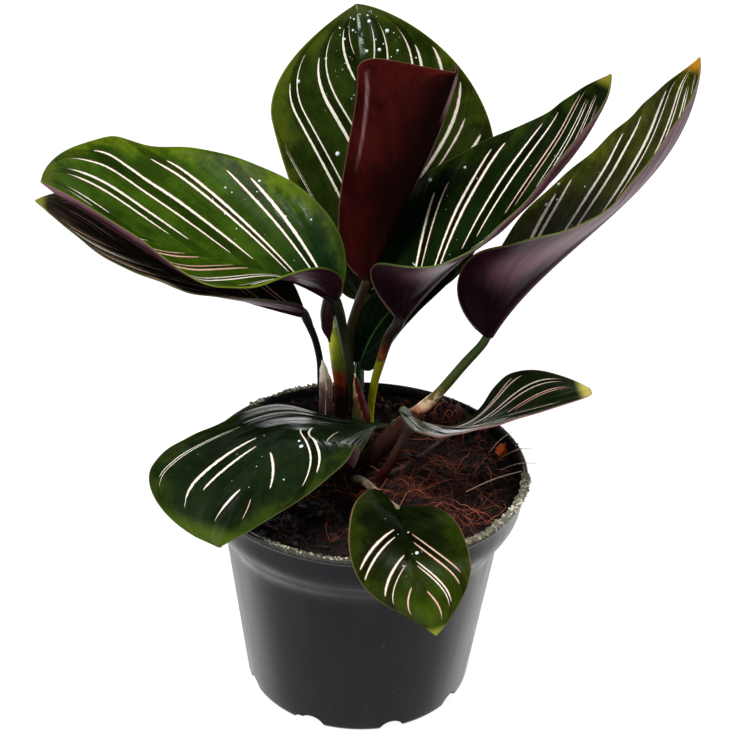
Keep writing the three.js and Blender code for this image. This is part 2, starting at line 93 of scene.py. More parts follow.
BLADES = {
    "back": dict(
        rib=((-1, 40, 138), (5, 38, 169), (-1, 52, 202), (-8, 54, 246)),
        facing=((0.23, -0.94, 0.25), (0.1, -0.95, 0.3)),
        right=half(
            0.54, 0.69, 44, (14, 12, 7), (20, 18, 13), (-0.1, 0.02), (0.03, 0.02), (0.15, 0.016, 0.6, 0.88),
            (0.236, 0, 0.5, 0.8, 0.45), (0.27, 0, 0.2, 0.9, 0.95), (0.34, 0, 0.76, 0.9),
            (0.45, 0.022, 0.4, 0.73), (0.692, 0.055, 0.1, 0.42), sweep=0.4, spread=0.5, stop=0.97,
        ),
        left=half(
            0.72, 0.92, 37, (24, 16, -1), (36, 20, 1), (-0.545, 0.02, 0.6, 0.97),
            (0.06, 0.062, 0.2, 0.82, 1.9), (0.476, 0.048, 0.1, 0.6, 1.9), (0.762, 0.04, 0.08, 0.38, 1.1),
            sweep=0.98, spread=-0.5, stop=0.97,
        ),
    ),
    "folded": dict(
        rib=((-1, 14, 159), (6, 22, 178), (29.5, 12, 228), (25.8, 6.5, 243.6)),
        facing=((0, 1, 0.1), (0, 1, 0.15)),
        right=half(
            0.73, 0.86, 33.6, (14, 12, 10), (22, 16, 10), root=0.37, swell=0.8, wave=0.0, lean=4.3, drip=0.06
        ),
        left=half(0.5, 1.6, 24, (90, 125, 120), (-5, -10, -10), root=0.8, swell=1.4, wave=0.0),
    ),
    "left_upper": dict(
        rib=((-12, 0, 158), (-38, 3, 175), (-77, -4, 172), (-108, -20, 209)),
        facing=((0.1, -0.25, 0.95), (0.3, -0.3, 0.9)),
        right=half(
            0.7, 0.7, 42, (38, 10, -4), (44, 16, -2), (-0.022, 0.026), (0.143, 0.016), (0.314, 0.037),
            (0.49, 0.03), (0.72, 0.025), sweep=0.52, spread=0.5, stop=0.95,
            rucks=((0.8, 0.05, 2.0), (0.66, 0.07, -1.3)),
        ),
        left=half(0.51, 1.35, 42, (60, 18, 43), (35, 25, 38)),
    ),
    "left_lower": dict(
        rib=((-23, -4, 155), (-53, -10, 164), (-86, -9, 178), (-111, -16, 200)),
        facing=((0, 0, 1), (0, 0, 1)),
        right=half(0.52, 0.87, 32, (18, 13, 10), (21, 17, 13)),
        left=half(0.53, 0.94, 32, (24, 9, 4), (29, 19, 13)),
    ),
    "right_upper": dict(
        rib=((11, 1, 151), (32, 18, 176), (71, -6, 207), (76, 0, 244.5)),
        facing=((-0.9, -0.1, 0.15), (-0.05, -0.35, 0.95)),
        right=half(0.22, 0.8, 39, (50, 27, 56), (31, 19, 25), sweep=0.4),
        left=half(
            0.33, 0.89, 39, (24, 1, -9), (27, 7, -6), (0.04, 0.015, 0.1, 0.8, 0.6), (0.145, 0.015),
            (0.283, 0.028), (0.438, 0.018), (0.56, 0.02), (0.68, 0.018), (0.8, 0.014),
            sweep=0.32, spread=0.55,
        ),
    ),
    "right_far": dict(
        rib=((42, 3, 144), (62, 20, 175), (109, 7, 201), (106, 11, 247)),
        facing=((-0.85, 0.15, 0.5), (-0.2, -0.3, 0.9)),
        right=half(0.35, 0.89, 38, (65, 25, 59), (33, 16, 20), sweep=0.4),
        left=half(
            0.36, 0.93, 38, (13, 3, 3), (14, 11, 12), (-0.15, 0.02), (0.02, 0.022), (0.242, 0.036),
            (0.44, 0.024), (0.6, 0.02), (0.73, 0.018), (0.85, 0.014), sweep=0.42, spread=0.3, stop=0.96,
        ),
    ),
    "drooping": dict(
        rib=((11, 12, 101), (-33, -13, 109), (-28, -14, 129), (-48, -57, 92)),
        facing=((-0.25, -0.35, 0.7), (-0.7, -0.65, 0.55)),
        right=half(
            0.85, 0.47, 37, (-17, -2, 22), (-28, -10, 14), (-0.2, 0.03, 0.58, 0.88, 1.5),
            (0.432, 0, 0.22, 0.62, 1.7), (0.568, 0, 0.14, 0.43, 1.7), (0.83, 0, 0.05, 0.33, 1.3),
            sweep=1.12, spread=-0.6, stop=0.97, root=1.2,
        ),
        left=half(
            0.62, 1.0, 34, (8, 3, -8), (6, -2, -12), (0.1, 0, 0.2, 0.75, 0.6),
            (0.351, 0.037, -0.02, 0.82, 1.3), (0.667, 0, 0.06, 0.44, 0.8), (0.798, 0, 0.22, 0.34, 0.6),
            sweep=0.65, spread=-0.35, stop=0.97, root=0.9, start=0.06,
        ),
    ),
    "front": dict(
        rib=((12, -30, 92), (16, -49, 102), (14, -75, 96), (26, -76, 72)),
        facing=((0.2, -0.4, 0.9), (-0.3, -0.95, 0.1)),
        right=half(
            0.42, 0.85, 20, (30, 6, -18), (30, 4, -25), (0.308, 0.028, 0.18, 0.88), (0.53, 0.03, 0.08, 0.8),
            (0.691, 0, 0.12, 0.64), sweep=0.32, spread=-0.05,
        ),
        left=half(
            0.65, 0.85, 20, (14, 2, -8), (12, 0, -11), (0.352, 0.035, 0.12, 0.78), (0.545, 0.015, 0.12, 0.7),
            (0.687, 0, 0.16, 0.6), sweep=0.52, spread=-0.1,
        ),
    ),
    "right_low": dict(
        rib=((13, -2, 115.5), (36, -12, 106), (44, -14, 123), (78, -10, 131.5)),
        facing=((0.1, 0.3, 0.95), (0, 0, 1)),
        right=half(
            0.53, 0.2, 20, (-3, 9, 12), (-2, 10, 20), (0.3, 0.02, 0.1, 0.8, 0.55),
            (0.6, 0.02, 0.1, 0.8, 0.55), wave=0.5,
        ),
        left=half(
            0.4, 0.9, 20, (-12, 8, 28), (-12, 5, 24), (0.22, 0.02), (0.42, 0.03), (0.62, 0.02),
            root=1.0, start=0.3, wave=0.5,
        ),
    ),
    "young": dict(
        rib=((-3, 26, 117), (0, 25, 129), (5, 30, 143), (32, 30, 158)),
        facing=((-0.3, -0.75, 0.6), (-0.4, -0.75, 0.5)),
        right=half(0.39, 0.55, 12, (19, 18, 11), (31, 24, 15), wave=0.4),
        left=half(0.4, 0.65, 9, (10, 10, 10), (21, 17, 13), wave=0.4),
    ),
}

# Stems as points (x, y, z, radius) from the top down to the soil. A petiole starts in its blade.
PETIOLES = {
    "back": ((-3, 40, 125, 1.8), (-3, 40, 112, 1.9), (-3, 40, 84, 2.3)),
    "folded": ((-4, 17, 147, 1.8), (-6.5, 19, 135, 1.8), (-7, 25.3, 112, 2), (-9.5, 32.5, 84, 2.3)),
    "left_upper": (
        (-10.6, 3, 152, 1.9), (-9.1, 9, 141.3, 1.75), (-7.4, 13, 129.9, 1.75), (-6, 16, 119, 1.85),
        (-4.5, 18, 108.8, 1.9), (-3.2, 20, 97.7, 2), (-3, 21, 84, 2.2),
    ),
    "left_lower": (
        (-21.6, -2, 151, 1.6), (-20.4, 1, 146, 1.35), (-18.8, 6, 138.5, 1.25), (-17.2, 12, 126.9, 1.25),
        (-16.7, 18, 112.7, 1.3), (-15.9, 23, 99.8, 1.5), (-16, 24, 84, 2),
    ),
    "right_upper": (
        (10.2, 1.5, 148, 2.1), (7.7, 6, 141.3, 1.9), (4.9, 14, 126.4, 1.7), (2.7, 21, 111.6, 1.5),
        (1.9, 27, 97.1, 1.2), (2, 28, 84, 1.4),
    ),
    "right_far": (
        (40.5, 2.6, 141, 1.6), (34.5, 2, 133, 1.75), (26, 3, 120, 1.8), (20, 3.5, 112.5, 2.2),
        (15.2, 4, 107, 3.2), (7, 5.5, 96, 3.5), (0, 6, 84, 3.6),
    ),
    "drooping": ((12.5, 15, 97.5, 1.5), (12, 17, 93, 1.7), (9, 20, 84, 2.2)),
    "front": ((9.5, -25, 90.5, 1.2), (6, -18, 89, 1.4), (0, -8, 88, 1.6), (-3, -2, 84, 1.8)),
    "right_low": (
        (14.8, -3.6, 114.5, 1.5), (15.6, -5, 110.9, 1.5), (12.7, -5, 102.4, 1.6), (9.7, -4, 94.3, 1.8),
        (6, -2, 84, 2),
    ),
    "young": ((-3, 27, 110, 1.3), (-2.5, 28, 100, 1.6), (-3, 31, 84, 2)),
}
SHEATHS = {
    "green": (
        (-12.7, 17, 143, 0.4), (-12.2, 18, 136, 1.7), (-11.6, 19, 129, 2.6), (-10.6, 22, 119, 2.6),
        (-9.6, 25, 106.6, 2.2), (-9.6, 26.5, 84, 2.2),
    ),
    "red": (
        (-4.4, 13.6, 120.5, 0.3), (-3.4, 15, 114, 1.3), (-2.5, 16, 108, 2.2), (-1.5, 17, 99.5, 3.6),
        (-0.9, 17.6, 90, 4.7), (-0.8, 18, 84, 4.9),
    ),
    "dry": (
        (-16.1, 10, 127.6, 0.4), (-15.6, 12, 122, 1.5), (-14.8, 15, 114.7, 2.5), (-14.6, 17, 102, 2.5),
        (-14.5, 18, 84, 2.3),
    ),
}
ROLLED_LEAF = (  # hangs between the stems
    (-13, 1.5, 160, 2.6), (-14.4, 2.5, 152, 2.6), (-14.6, 3.6, 145.5, 2.1), (-13.6, 4.6, 138.5, 0.4),
)

SOIL_LEVEL = 84.0
STEM_DEPTH = 14.0
BLADE_ROWS = 120
BLADE_COLUMNS = 72
MIN_HALF_WIDTH = 0.5
VEIN_SLANT = 0.6  # stripes cross a blade at an angle, so this much of their pitch lies across them
MARGIN_WAVES = (2.2, 3.7, 6.1)  # how often the margin rises and falls along a blade
CHANNEL_DEPTH, CHANNEL_WIDTH = 0.35, 1.1  # the groove along the midrib of the green face
VEIN_HEIGHT, FINE_VEIN_HEIGHT = 0.10, 0.035
KEEL_HEIGHT, KEEL_WIDTH = 1.25, 1.25  # the midrib as it stands out of the underside
MAP_BORDER, MAP_STRIP = 0.012, 0.007  # free border of the texture map, and the margin's strip in it
SEEDS = dict(chips=41, crust=19, fibres=77, dew=5)


# ---------------- mesh helpers
def unit(vectors):
    return vectors / np.maximum(np.linalg.norm(vectors, axis=-1, keepdims=True), 1e-9)


def mesh_object(name, points, faces):
    """A smooth-shaded object from points in millimetres."""
    mesh = bpy.data.meshes.new(name)
    mesh.from_pydata([tuple(p) for p in np.asarray(points) * MM], [], faces)
    mesh.shade_smooth()
    mesh.update()
    piece = bpy.data.objects.new(name, mesh)
    bpy.context.scene.collection.objects.link(piece)
    return piece


def point_values(piece, name, values):
    layer = piece.data.attributes.new(name, "FLOAT", "POINT")
    layer.data.foreach_set("value", np.asarray(values, np.float32).ravel())


def grid_faces(rows, columns, start=0, closed=False, flipped=False):
    """Quads of a grid with that many steps; closed joins its last column of points to the first."""
    width = columns if closed else columns + 1
    row, column = np.meshgrid(np.arange(rows), np.arange(columns), indexing="ij")
    here = start + row * width + column
    beside = start + row * width + (column + 1) % width
    corners = [here, beside, beside + width, here + width]
    if flipped:
        corners = [here, here + width, beside + width, beside]
    return np.stack([corner.ravel() for corner in corners], axis=1).tolist()


def fan_faces(centre, start, sides, flipped=False):
    """Triangles from a centre point to the ring of points that begins at start."""
    pairs = [(start + k, start + (k + 1) % sides) for k in range(sides)]
    return [(centre, b, a) if flipped else (centre, a, b) for a, b in pairs]


def give(piece, slot, *materials, nodes=()):
    """Puts the materials on a piece, fixes it to the plant's body and hides the imported parts that it
    stands for; slot is not used.
    """
    for material in materials:
        piece.data.materials.append(material)
    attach(piece, "root")
    if nodes:
        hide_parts(*nodes)


class Bits:
    """Many small bodies that make up one piece, each with its own tint."""

    def __init__(self):
        self.points, self.faces, self.tints = [], [], []

    def add(self, points, faces, tint=0.0):
        start = len(self.points)
        self.faces += [tuple(start + i for i in face) for face in faces]
        self.points += [tuple(point) for point in points]
        self.tints += [tint] * len(points)

    def piece(self, name):
        piece = mesh_object(name, self.points, self.faces)
        point_values(piece, "tint", self.tints)
        return piece


# ---------------- shader helpers
def math_node(operation, swapped=False):
    """A method that joins a value to another by a math node."""

    def join(value, other=0.0):
        pair = (other, value) if swapped else (value, other)
        return value.finish.node("Math", pair, operation=operation)

    return join


class Value:
    """A number or a colour that a material works out at each point. Arithmetic with it adds nodes."""

    __add__ = __radd__ = math_node("ADD")
    __mul__ = __rmul__ = math_node("MULTIPLY")
    __sub__ = math_node("SUBTRACT")
    __rsub__ = math_node("SUBTRACT", swapped=True)
    __truediv__ = math_node("DIVIDE")
    __pow__ = math_node("POWER")
    __gt__ = math_node("GREATER_THAN")
    __abs__ = math_node("ABSOLUTE")
    __round__ = math_node("ROUND")
    most = math_node("MAXIMUM")
    sine = math_node("SINE")

    def __init__(self, finish, socket):
        self.finish = finish
        self.socket = socket

    def step(self, low, high, start=0.0, end=1.0):
        """Rises smoothly from start to end as the value goes from low to high."""
        return self.finish.node("MapRange", (self, low, high, start, end), interpolation_type="SMOOTHSTEP")


class Finish:
    """One procedural material. finish["name"] is the value of that name on the mesh."""

    def __init__(self, name):
        self.material = bpy.data.materials.new(name)
        self.material.use_nodes = True
        self.tree = self.material.node_tree

    def feed(self, socket, value):
        if isinstance(value, Value):
            self.tree.links.new(value.socket, socket)
        elif socket.type == "RGBA":
            socket.default_value = (*value, 1.0)
        else:
            socket.default_value = value

    def node(self, kind, inputs=(), output=0, **settings):
        """Adds a node whose inputs are given in order or by name, and returns one output."""
        made = self.tree.nodes.new(f"ShaderNode{kind}")
        for key, value in settings.items():
            setattr(made, key, value)
        for key, value in inputs.items() if isinstance(inputs, dict) else enumerate(inputs):
            self.feed(made.inputs[key], value)
        return Value(self, made.outputs[output])

    def __getitem__(self, name):
        return self.node("Attribute", output="Fac", attribute_name=name)

    def parts(self, kind, value):
        """All that comes out of a node that takes a value apart."""
        return [Value(self, part) for part in self.node(kind, (value,)).socket.node.outputs]

    def place(self):
        return self.node("TexCoord", output="Object")

    def facing(self):
        """0 where the surface is seen square on, 1 where it is seen edge on."""
        return self.node("LayerWeight", output="Facing")

    def noise(self, scale, detail=3.0, roughness=0.55, *spot):
        """Cloudy noise through the object, or at a spot of three values."""
        where = self.node("CombineXYZ", spot) if spot else self.place()
        inputs = {"Vector": where, "Scale": scale, "Detail": detail, "Roughness": roughness}
        return self.node("TexNoise", inputs)

    def chance(self, *seed):
        """Three draws between 0 and 1 that hold for one seed of three values."""
        drawn = self.node("TexWhiteNoise", (self.node("CombineXYZ", seed),), "Color")
        return self.parts("SeparateColor", drawn)

    def blend(self, factor, first, second):
        return self.node("Mix", {0: factor, 6: first, 7: second}, 2, data_type="RGBA")

    def scaled(self, colour, factor):
        return self.node("VectorMath", {0: colour, "Scale": factor}, operation="SCALE")

    def bump(self, height, distance, strength):
        return self.node("Bump", {"Height": height, "Distance": distance, "Strength": strength})

    def done(self, **sockets):
        """Sets or links the shader's sockets; underscores stand for spaces in their names."""
        shader = self.tree.nodes["Principled BSDF"]
        for name, value in sockets.items():
            self.feed(shader.inputs[name.replace("_", " ")], value)
        return self.material


# ---------------- settings
def kind_of_setting(prop, **usual):
    """A maker of settings of one kind, each with its name, description and default."""

    def make(name, description, default, **own):
        return prop(name=name, description=description, default=default, **{**usual, **own})

    return make


length = kind_of_setting(FloatProperty, min=0.0, unit="LENGTH")
power = kind_of_setting(FloatProperty, min=0.0, unit="POWER")
strength = kind_of_setting(FloatProperty, min=0.0)
count = kind_of_setting(IntProperty, min=0)
colour = kind_of_setting(FloatVectorProperty, subtype="COLOR", size=3, min=0.0, max=1.0)


class CalatheaPot(bpy.types.PropertyGroup):
    rim_radius: length("Rim radius", "Outer radius of the pot's rim", (POT_TOP.x - POT_FOOT.x) / 2, min=0.02)
    height: length("Height", "Height of the pot from its base to its rim", POT_TOP.z, min=0.02)
    plastic: colour("Plastic", "Colour of the moulded plastic", linear(16, 18, 22))
    scuff: colour("Scuffs", "Colour of the worn and dusty places", linear(120, 122, 120))
    segments: count("Segments", "Steps round the pot", 288, min=48)


class CalatheaSoil(bpy.types.PropertyGroup):
    chips: count("Chips", "How many chips of bark and coir", 1500)
    fibres: count("Fibres", "How many coir fibres", 900)
    dark: colour("Dark", "Colour of the wet soil", linear(12, 8, 6))
    brown: colour("Brown", "Colour of the drier crumbs", linear(44, 26, 18))


class CalatheaLeaves(bpy.types.PropertyGroup):
    thickness: length("Blade thickness", "Thickness away from the margin", 0.55 * MM, min=0.1 * MM)
    wave: length("Margin wave", "How far the margins rise and fall", 0.9 * MM)
    stripe: length("Stripe width", "Width of one pin stripe", 1.0 * MM, min=0.1 * MM)
    cream: colour("Stripe", "Colour of the pin stripes", linear(255, 249, 232))
    pink: colour("Stripe edge", "Colour that some stripes turn to", linear(232, 178, 158))
    underside: colour("Underside", "Colour of the underside", linear(72, 17, 34))


class CalatheaStems(bpy.types.PropertyGroup):
    sides: count("Sides", "Steps round a stem", 28, min=8)
    ring_step: length("Ring step", "Distance between two rings of a stem", 1.2 * MM, min=0.2 * MM)


class CalatheaDew(bpy.types.PropertyGroup):
    count: count("Drops", "How many fine drops of water lie on the blades", 110)
    radius: length("Drop radius", "Radius of a large drop", 0.75 * MM)


class CalatheaStage(bpy.types.PropertyGroup):
    floor: colour("Floor", "Colour of the plain floor", linear(120, 120, 120))
    glow: strength("Floor glow", "Light that the floor gives off", 0.95)
    key: power("Key light", "Power of the key light", 13.0)
    window: power("Window", "Power of the light at the left", 3.5)
    back: power("Back light", "Power of the light behind", 8.0)
    side: power("Side light", "Power of the light at the right", 4.2)
    sky: strength("Sky", "Strength of the even light all round", 0.2)
    show_floor: BoolProperty(name="Floor", description="Adds the floor under the pot", default=True)


# ---------------- blade surface
def bezier(points, u):
    """Points and unit tangents of a cubic Bezier curve at the places u."""
    p = np.asarray(points, float)
    t = u[:, None]
    s = 1 - t
    place = s**3 * p[0] + 3 * s * s * t * p[1] + 3 * s * t * t * p[2] + t**3 * p[3]
    slope = s * s * (p[1] - p[0]) + 2 * s * t * (p[2] - p[1]) + t * t * (p[3] - p[2])
    return place, unit(slope)


def through(values, u):
    """The curve through a value at the base, the middle and the tip."""
    base, middle, tip = values
    return base * (1 - u) * (1 - 2 * u) + middle * 4 * u * (1 - u) + tip * u * (2 * u - 1)


def half_width(side, u):
    belly, drip = side["belly"], side["drip"]
    along = np.clip((u - side["start"]) / (1 - side["start"] - drip), 0, 1)
    before = 1 - np.clip((belly - along) / belly, 0, 1) ** side["swell"]
    after = 1 - np.clip((along - belly) / (1 - belly), 0, 1) ** 2
    shape = np.where(along < belly, before ** side["root"], after ** side["point"])
    least = MIN_HALF_WIDTH * (np.clip((1 - u) / drip, 0.2, 2) if drip else 1)
    return np.maximum(least, side["width"] * shape)


def rib_frame(blade, u):
    """The midrib at the places u: point, tangent, direction of the green face and sideways."""
    place, tangent = bezier(blade["rib"], u)
    facing = np.outer(1 - u, blade["facing"][0]) + np.outer(u, blade["facing"][1])
    normal = unit(facing - (facing * tangent).sum(1)[:, None] * tangent)
    return place, tangent, normal, np.cross(tangent, normal)


def margin_wave(u, across, seed):
    """How far the blade rises and falls near its margin."""
    draw = random.Random(seed)
    rise = np.zeros_like(u)
    for waves in MARGIN_WAVES:
        rise = rise + np.sin(FULL_TURN * (waves * u + draw.random())) * draw.uniform(0.3, 1.0) / waves**0.6
    fade = np.sin(np.pi * u) ** 0.5
    return (rise * fade)[:, None] * across**2.5


def blade_half(blade, name, u, across, wave):
    """The mid surface of one half blade and the values that its finish reads."""
    side = blade[name]
    place, ahead, normal, sideways = rib_frame(blade, u)
    if name == "left":
        sideways = -sideways
    width = half_width(side, u)[:, None]
    lift = np.radians(through(side["lift"], u))[:, None]
    curl = np.radians(through(side["curl"], u))[:, None]
    curl = np.where(np.abs(curl) < 1e-4, 1e-4, curl)
    end = lift + curl * across
    out = width * (np.sin(end) - np.sin(lift)) / curl
    up = width * (np.cos(lift) - np.cos(end)) / curl
    seed = sum(map(ord, name)) + sum(int(abs(v) * 7) for v in blade["rib"][3])
    up = up + side["wave"] * wave * margin_wave(u, across, seed)
    for centre, breadth, height in side["rucks"]:
        up = up + height * np.exp(-(((u - centre) / breadth) ** 2))[:, None] * across**3
    lead = side["lean"] * width / side["width"] * across
    points = place[:, None]
    for way, reach in ((sideways, out), (normal, up), (ahead, lead)):
        points = points + way[:, None] * reach[..., None]
    origin = (u[:, None] - side["sweep"] * across) / (1 + side["spread"] * across)
    rib_length = np.linalg.norm(np.diff(place, axis=0), axis=1).sum()
    values = stripe_values(side["pairs"], origin, rib_length * VEIN_SLANT)
    values["stop"] = np.full_like(origin, side["stop"])
    values["edge"] = width * (1 - across)
    return points, values


def stripe_values(pairs, origin, reach):
    """Which pair of stripes is nearest, whole at its middle, with the pairs' pitch, half gap and ends."""
    places, gaps, begins, ends, breadths = np.array(pairs).T
    steps = np.diff(places)
    last = len(places)
    before, after = places[0] - steps[0], places[-1] + steps[-1]
    knots = np.concatenate(([before - 3 * steps[0], before], places, [after, after + 3 * steps[-1]]))
    index = np.interp(origin, knots, [-4, *range(-1, last + 1), last + 3])
    nearest = np.clip(np.round(index).astype(int), 0, last - 1)
    return dict(
        pair=index,
        pitch=np.interp(origin, places[:-1] + steps / 2, steps) * reach,
        gap=gaps[nearest] * reach,
        drawn=np.interp(index, (-0.6, -0.5, last - 0.5, last - 0.4), (0, 1, 1, 0)),
        begin=begins[nearest],
        end=ends[nearest],
        breadth=breadths[nearest],
    )


def blade_sheet(name, wave):
    """A blade's green face as a grid, its normals, its values and its distance from the midrib."""
    u = np.linspace(0, 1, BLADE_ROWS + 1)
    u = u + 0.5 * ((1 - np.cos(np.pi * u)) / 2 - u)
    across = np.linspace(0, 1, BLADE_COLUMNS // 2 + 1)
    right, right_values = blade_half(BLADES[name], "right", u, across, wave)
    left, left_values = blade_half(BLADES[name], "left", u, across, wave)
    points = np.concatenate((left[:, :0:-1], right), axis=1)
    values = {k: np.concatenate((left_values[k][:, :0:-1], right_values[k]), axis=1) for k in right_values}
    signed = np.concatenate((-across[:0:-1], across))
    values["along"], values["across"] = np.meshgrid(u, signed, indexing="ij")
    normals = unit(np.cross(np.gradient(points, axis=1), np.gradient(points, axis=0)))
    relief, inner = blade_relief(values)
    return points + normals * relief[..., None], normals, values, inner


def blade_relief(values):
    """Height of the green face: a channel on the midrib and low ridges along the side veins."""
    beside = np.abs(values["across"])
    inner = beside * np.maximum(values["edge"] / np.maximum(1 - beside, 0.02), 1)
    channel = -CHANNEL_DEPTH * np.exp(-((inner / CHANNEL_WIDTH) ** 2)) * (1 - 0.6 * values["along"])
    fade = np.clip(values["edge"] / 6, 0, 1) * np.clip(inner / 4, 0, 1)
    turn = FULL_TURN * values["pair"]
    veins = VEIN_HEIGHT * np.cos(turn) + FINE_VEIN_HEIGHT * np.cos(3 * turn)
    return channel + veins * fade, inner


def blade_depth(values, inner, thickness):
    """Thickness of the blade: thin at the margin, with the midrib raised on the underside."""
    body = thickness * (0.35 + 0.65 * np.clip(values["edge"] / 3, 0, 1) ** 0.7)
    keel = KEEL_HEIGHT * np.exp(-((inner / KEEL_WIDTH) ** 2)) * (1 - values["along"]) ** 1.3
    return body + keel


def map_blade(piece):
    """A texture map with the green face in the left half and the underside in the right half."""
    index = np.zeros(len(piece.data.loops), np.int32)
    piece.data.loops.foreach_get("vertex_index", index)
    points = (BLADE_ROWS + 1) * (BLADE_COLUMNS + 1)
    under = index >= points
    row, column = np.divmod(index - points * under, BLADE_COLUMNS + 1)
    sheets = 2 * 4 * BLADE_ROWS * BLADE_COLUMNS  # corners of both sheets; the margin's come after
    strip = under & (np.arange(len(index)) >= sheets)
    out_x = MAP_STRIP * (1.0 * (column == BLADE_COLUMNS) - (column == 0))
    out_y = MAP_STRIP * (1.0 * (row == BLADE_ROWS) - (row == 0))
    x = MAP_BORDER + (0.5 - 2 * MAP_BORDER) * column / BLADE_COLUMNS + 0.5 * under + strip * (out_x - 0.5)
    y = MAP_BORDER + (1 - 2 * MAP_BORDER) * row / BLADE_ROWS + strip * out_y
    layer = piece.data.uv_layers.new(name="OFBake")
    layer.uv.foreach_set("vector", np.stack((x, y), axis=1).astype(np.float32).ravel())


def make_blade(name, thickness, wave):
    upper, normals, values, inner = blade_sheet(name, wave)
    lower = upper - normals * blade_depth(values, inner, thickness)[..., None]
    points = np.arange(upper[..., 0].size).reshape(upper.shape[:2])
    border = np.concatenate((points[0, :-1], points[:-1, -1], points[-1, :0:-1], points[:0:-1, 0])).tolist()
    margin = [(b, a, a + points.size, b + points.size) for a, b in zip(border, border[1:] + border[:1])]
    face = grid_faces(BLADE_ROWS, BLADE_COLUMNS)
    under = [[i + points.size for i in corners[::-1]] for corners in face]
    grid = np.concatenate((upper.reshape(-1, 3), lower.reshape(-1, 3)))
    piece = mesh_object(f"blade_{name}", grid, face + under + margin)
    slots = [0] * len(face) + [1] * len(under) + [0] * len(margin)
    piece.data.polygons.foreach_set("material_index", slots)
    for key, held in values.items():
        point_values(piece, key, np.tile(held.ravel(), 2))
    map_blade(piece)
    return piece


# ---------------- blade finishes
USUAL_FACE = dict(stripe=1.0, rib=0.0, pink=0.5, line=1.0, ramp=(0.04, 0.42))


def face_look(*colours, **extra):
    """One green face's screen colours at its base, middle, margin, rim and tip. extra may give how
    strong its stripes are, how pale its midrib is, how many stripes turn pink, how wide they are,
    and where along it the base's colour turns into the middle's."""
    parts = ("base", "middle", "margin", "rim", "tip")
    return {**USUAL_FACE, **{part: linear(*c) for part, c in zip(parts, colours)}, **extra}


FACES = {
    "back": face_look((28, 42, 12), (46, 62, 16), (76, 88, 18), (122, 126, 34), (66, 78, 30), pink=0.2),
    "folded": face_look((22, 36, 18), (30, 46, 22), (44, 62, 26), (96, 100, 50), (50, 60, 30)),
    "left_upper": face_look(
        (12, 34, 14), (62, 90, 16), (98, 120, 16), (120, 130, 46), (84, 98, 28), line=1.2
    ),
    "left_lower": face_look(
        (24, 20, 16), (74, 66, 50), (76, 74, 48), (104, 104, 64), (150, 150, 60), stripe=0.9, pink=0.8
    ),
    "right_upper": face_look((12, 28, 8), (22, 37, 10), (46, 62, 14), (110, 124, 70), (126, 122, 40)),
    "right_far": face_look(
        (22, 26, 8), (62, 68, 14), (90, 96, 18), (110, 122, 54), (196, 132, 30), pink=0.15, line=1.7
    ),
    "drooping": face_look((20, 32, 16), (26, 40, 18), (50, 66, 14), (104, 104, 62), (66, 84, 22)),
    "front": face_look(
        (20, 28, 6), (60, 78, 8), (46, 60, 8), (156, 118, 88), (130, 136, 40),
        stripe=0.9, pink=0.3, line=0.68, ramp=(0.45, 0.95),
    ),
    "right_low": face_look(
        (42, 54, 40), (26, 36, 16), (22, 34, 14), (176, 130, 120), (190, 180, 90), stripe=0.7
    ),
    "young": face_look(
        (8, 30, 12), (12, 36, 14), (12, 32, 12), (60, 84, 44), (40, 66, 36), stripe=0.0, rib=0.5
    ),
}
GLOSS_AND_PAINTED_SHEEN_PATCHES = {  # where a face shines, by real gloss and by a pale sheen painted into its colour: place along and across it, reach along and across, strength
    "left_upper": ((0.23, 0.7, 0.07, 0.25, 0.8), (0.75, -0.8, 0.3, 0.25, 0.3)),
    "drooping": ((0.32, -0.75, 0.42, 0.5, 0.7), (0.3, 0.45, 0.22, 0.65, 1.0), (0.8, 0.1, 0.15, 0.2, 0.3)),
    "right_upper": ((0.3, -0.9, 0.1, 0.15, 0.5),),
    "right_low": ((0.35, 0.5, 0.7, 0.8, 0.9),),
    "back": ((0.95, 0.0, 0.08, 0.5, 0.4),),
}


def stripe_lines(finish, seed, width):
    """Masks of the pin stripes, their reddish borders and the dark band in a pair, and a tint draw."""
    across, pair, gap = abs(finish["across"]), finish["pair"], finish["gap"]
    nearest = round(pair)
    first, second, third = finish.chance(nearest, finish["across"] > 0.0, seed)
    shift = (pair - nearest) * finish["pitch"]
    begin = finish["begin"] + first.step(0, 1, -0.02, 0.03)
    end = finish["end"] + third.step(0, 1, -0.03, 0.03)
    progress = (across - begin) / (end - begin)
    left = finish["stop"] + second.step(0, 1, -0.03, 0.02) - finish["along"]
    wobble = finish.noise(700.0, 1.0).step(0.2, 0.8, 0.8, 1.12)
    taper = (progress * (1.0 - progress) * 4.0).most(0.0) ** 0.36
    taper = taper * left.step(0.0, 0.07) * wobble * finish["breadth"] * (width / MM / 2)
    broad = taper * first.step(0, 1, 0.85, 1.3) - abs(shift + gap)
    slim = taper * third.step(0, 1, 0.5, 1.0) - abs(shift - gap)
    inside = broad.most(slim)
    present = (taper > 0.03) * finish["drawn"]
    core = inside.step(-0.05, 0.12) * present
    border = inside.step(-0.32, -0.04) * present
    band = (gap - abs(shift)).step(-0.5, 0.4) * finish["drawn"]
    return core, border, band, second


def vein_grain(finish, across_scale, seed, pitch=9.0):
    """Noise drawn out along the side veins."""
    return finish.noise(1.0, 4.0, 0.6, finish["pair"] * pitch, finish["across"] * across_scale, seed)


def gloss_and_painted_sheen_streaks(finish, name, seed):
    """Streaks along the side veins, inside the patches of one face, that give it gloss and also a pale sheen
    painted into its colour.
    """
    total = finish["along"] * 0.0
    for place_along, place_across, reach_along, reach_across, shine in GLOSS_AND_PAINTED_SHEEN_PATCHES.get(name, ()):
        x = (finish["along"] - place_along) / reach_along
        y = (finish["across"] - place_across) / reach_across
        total = total.most((x * x + y * y).step(0.1, 1.0, shine, 0.0))
    return total * vein_grain(finish, 1.3, seed + 60, 2.3).step(0.44, 0.64)


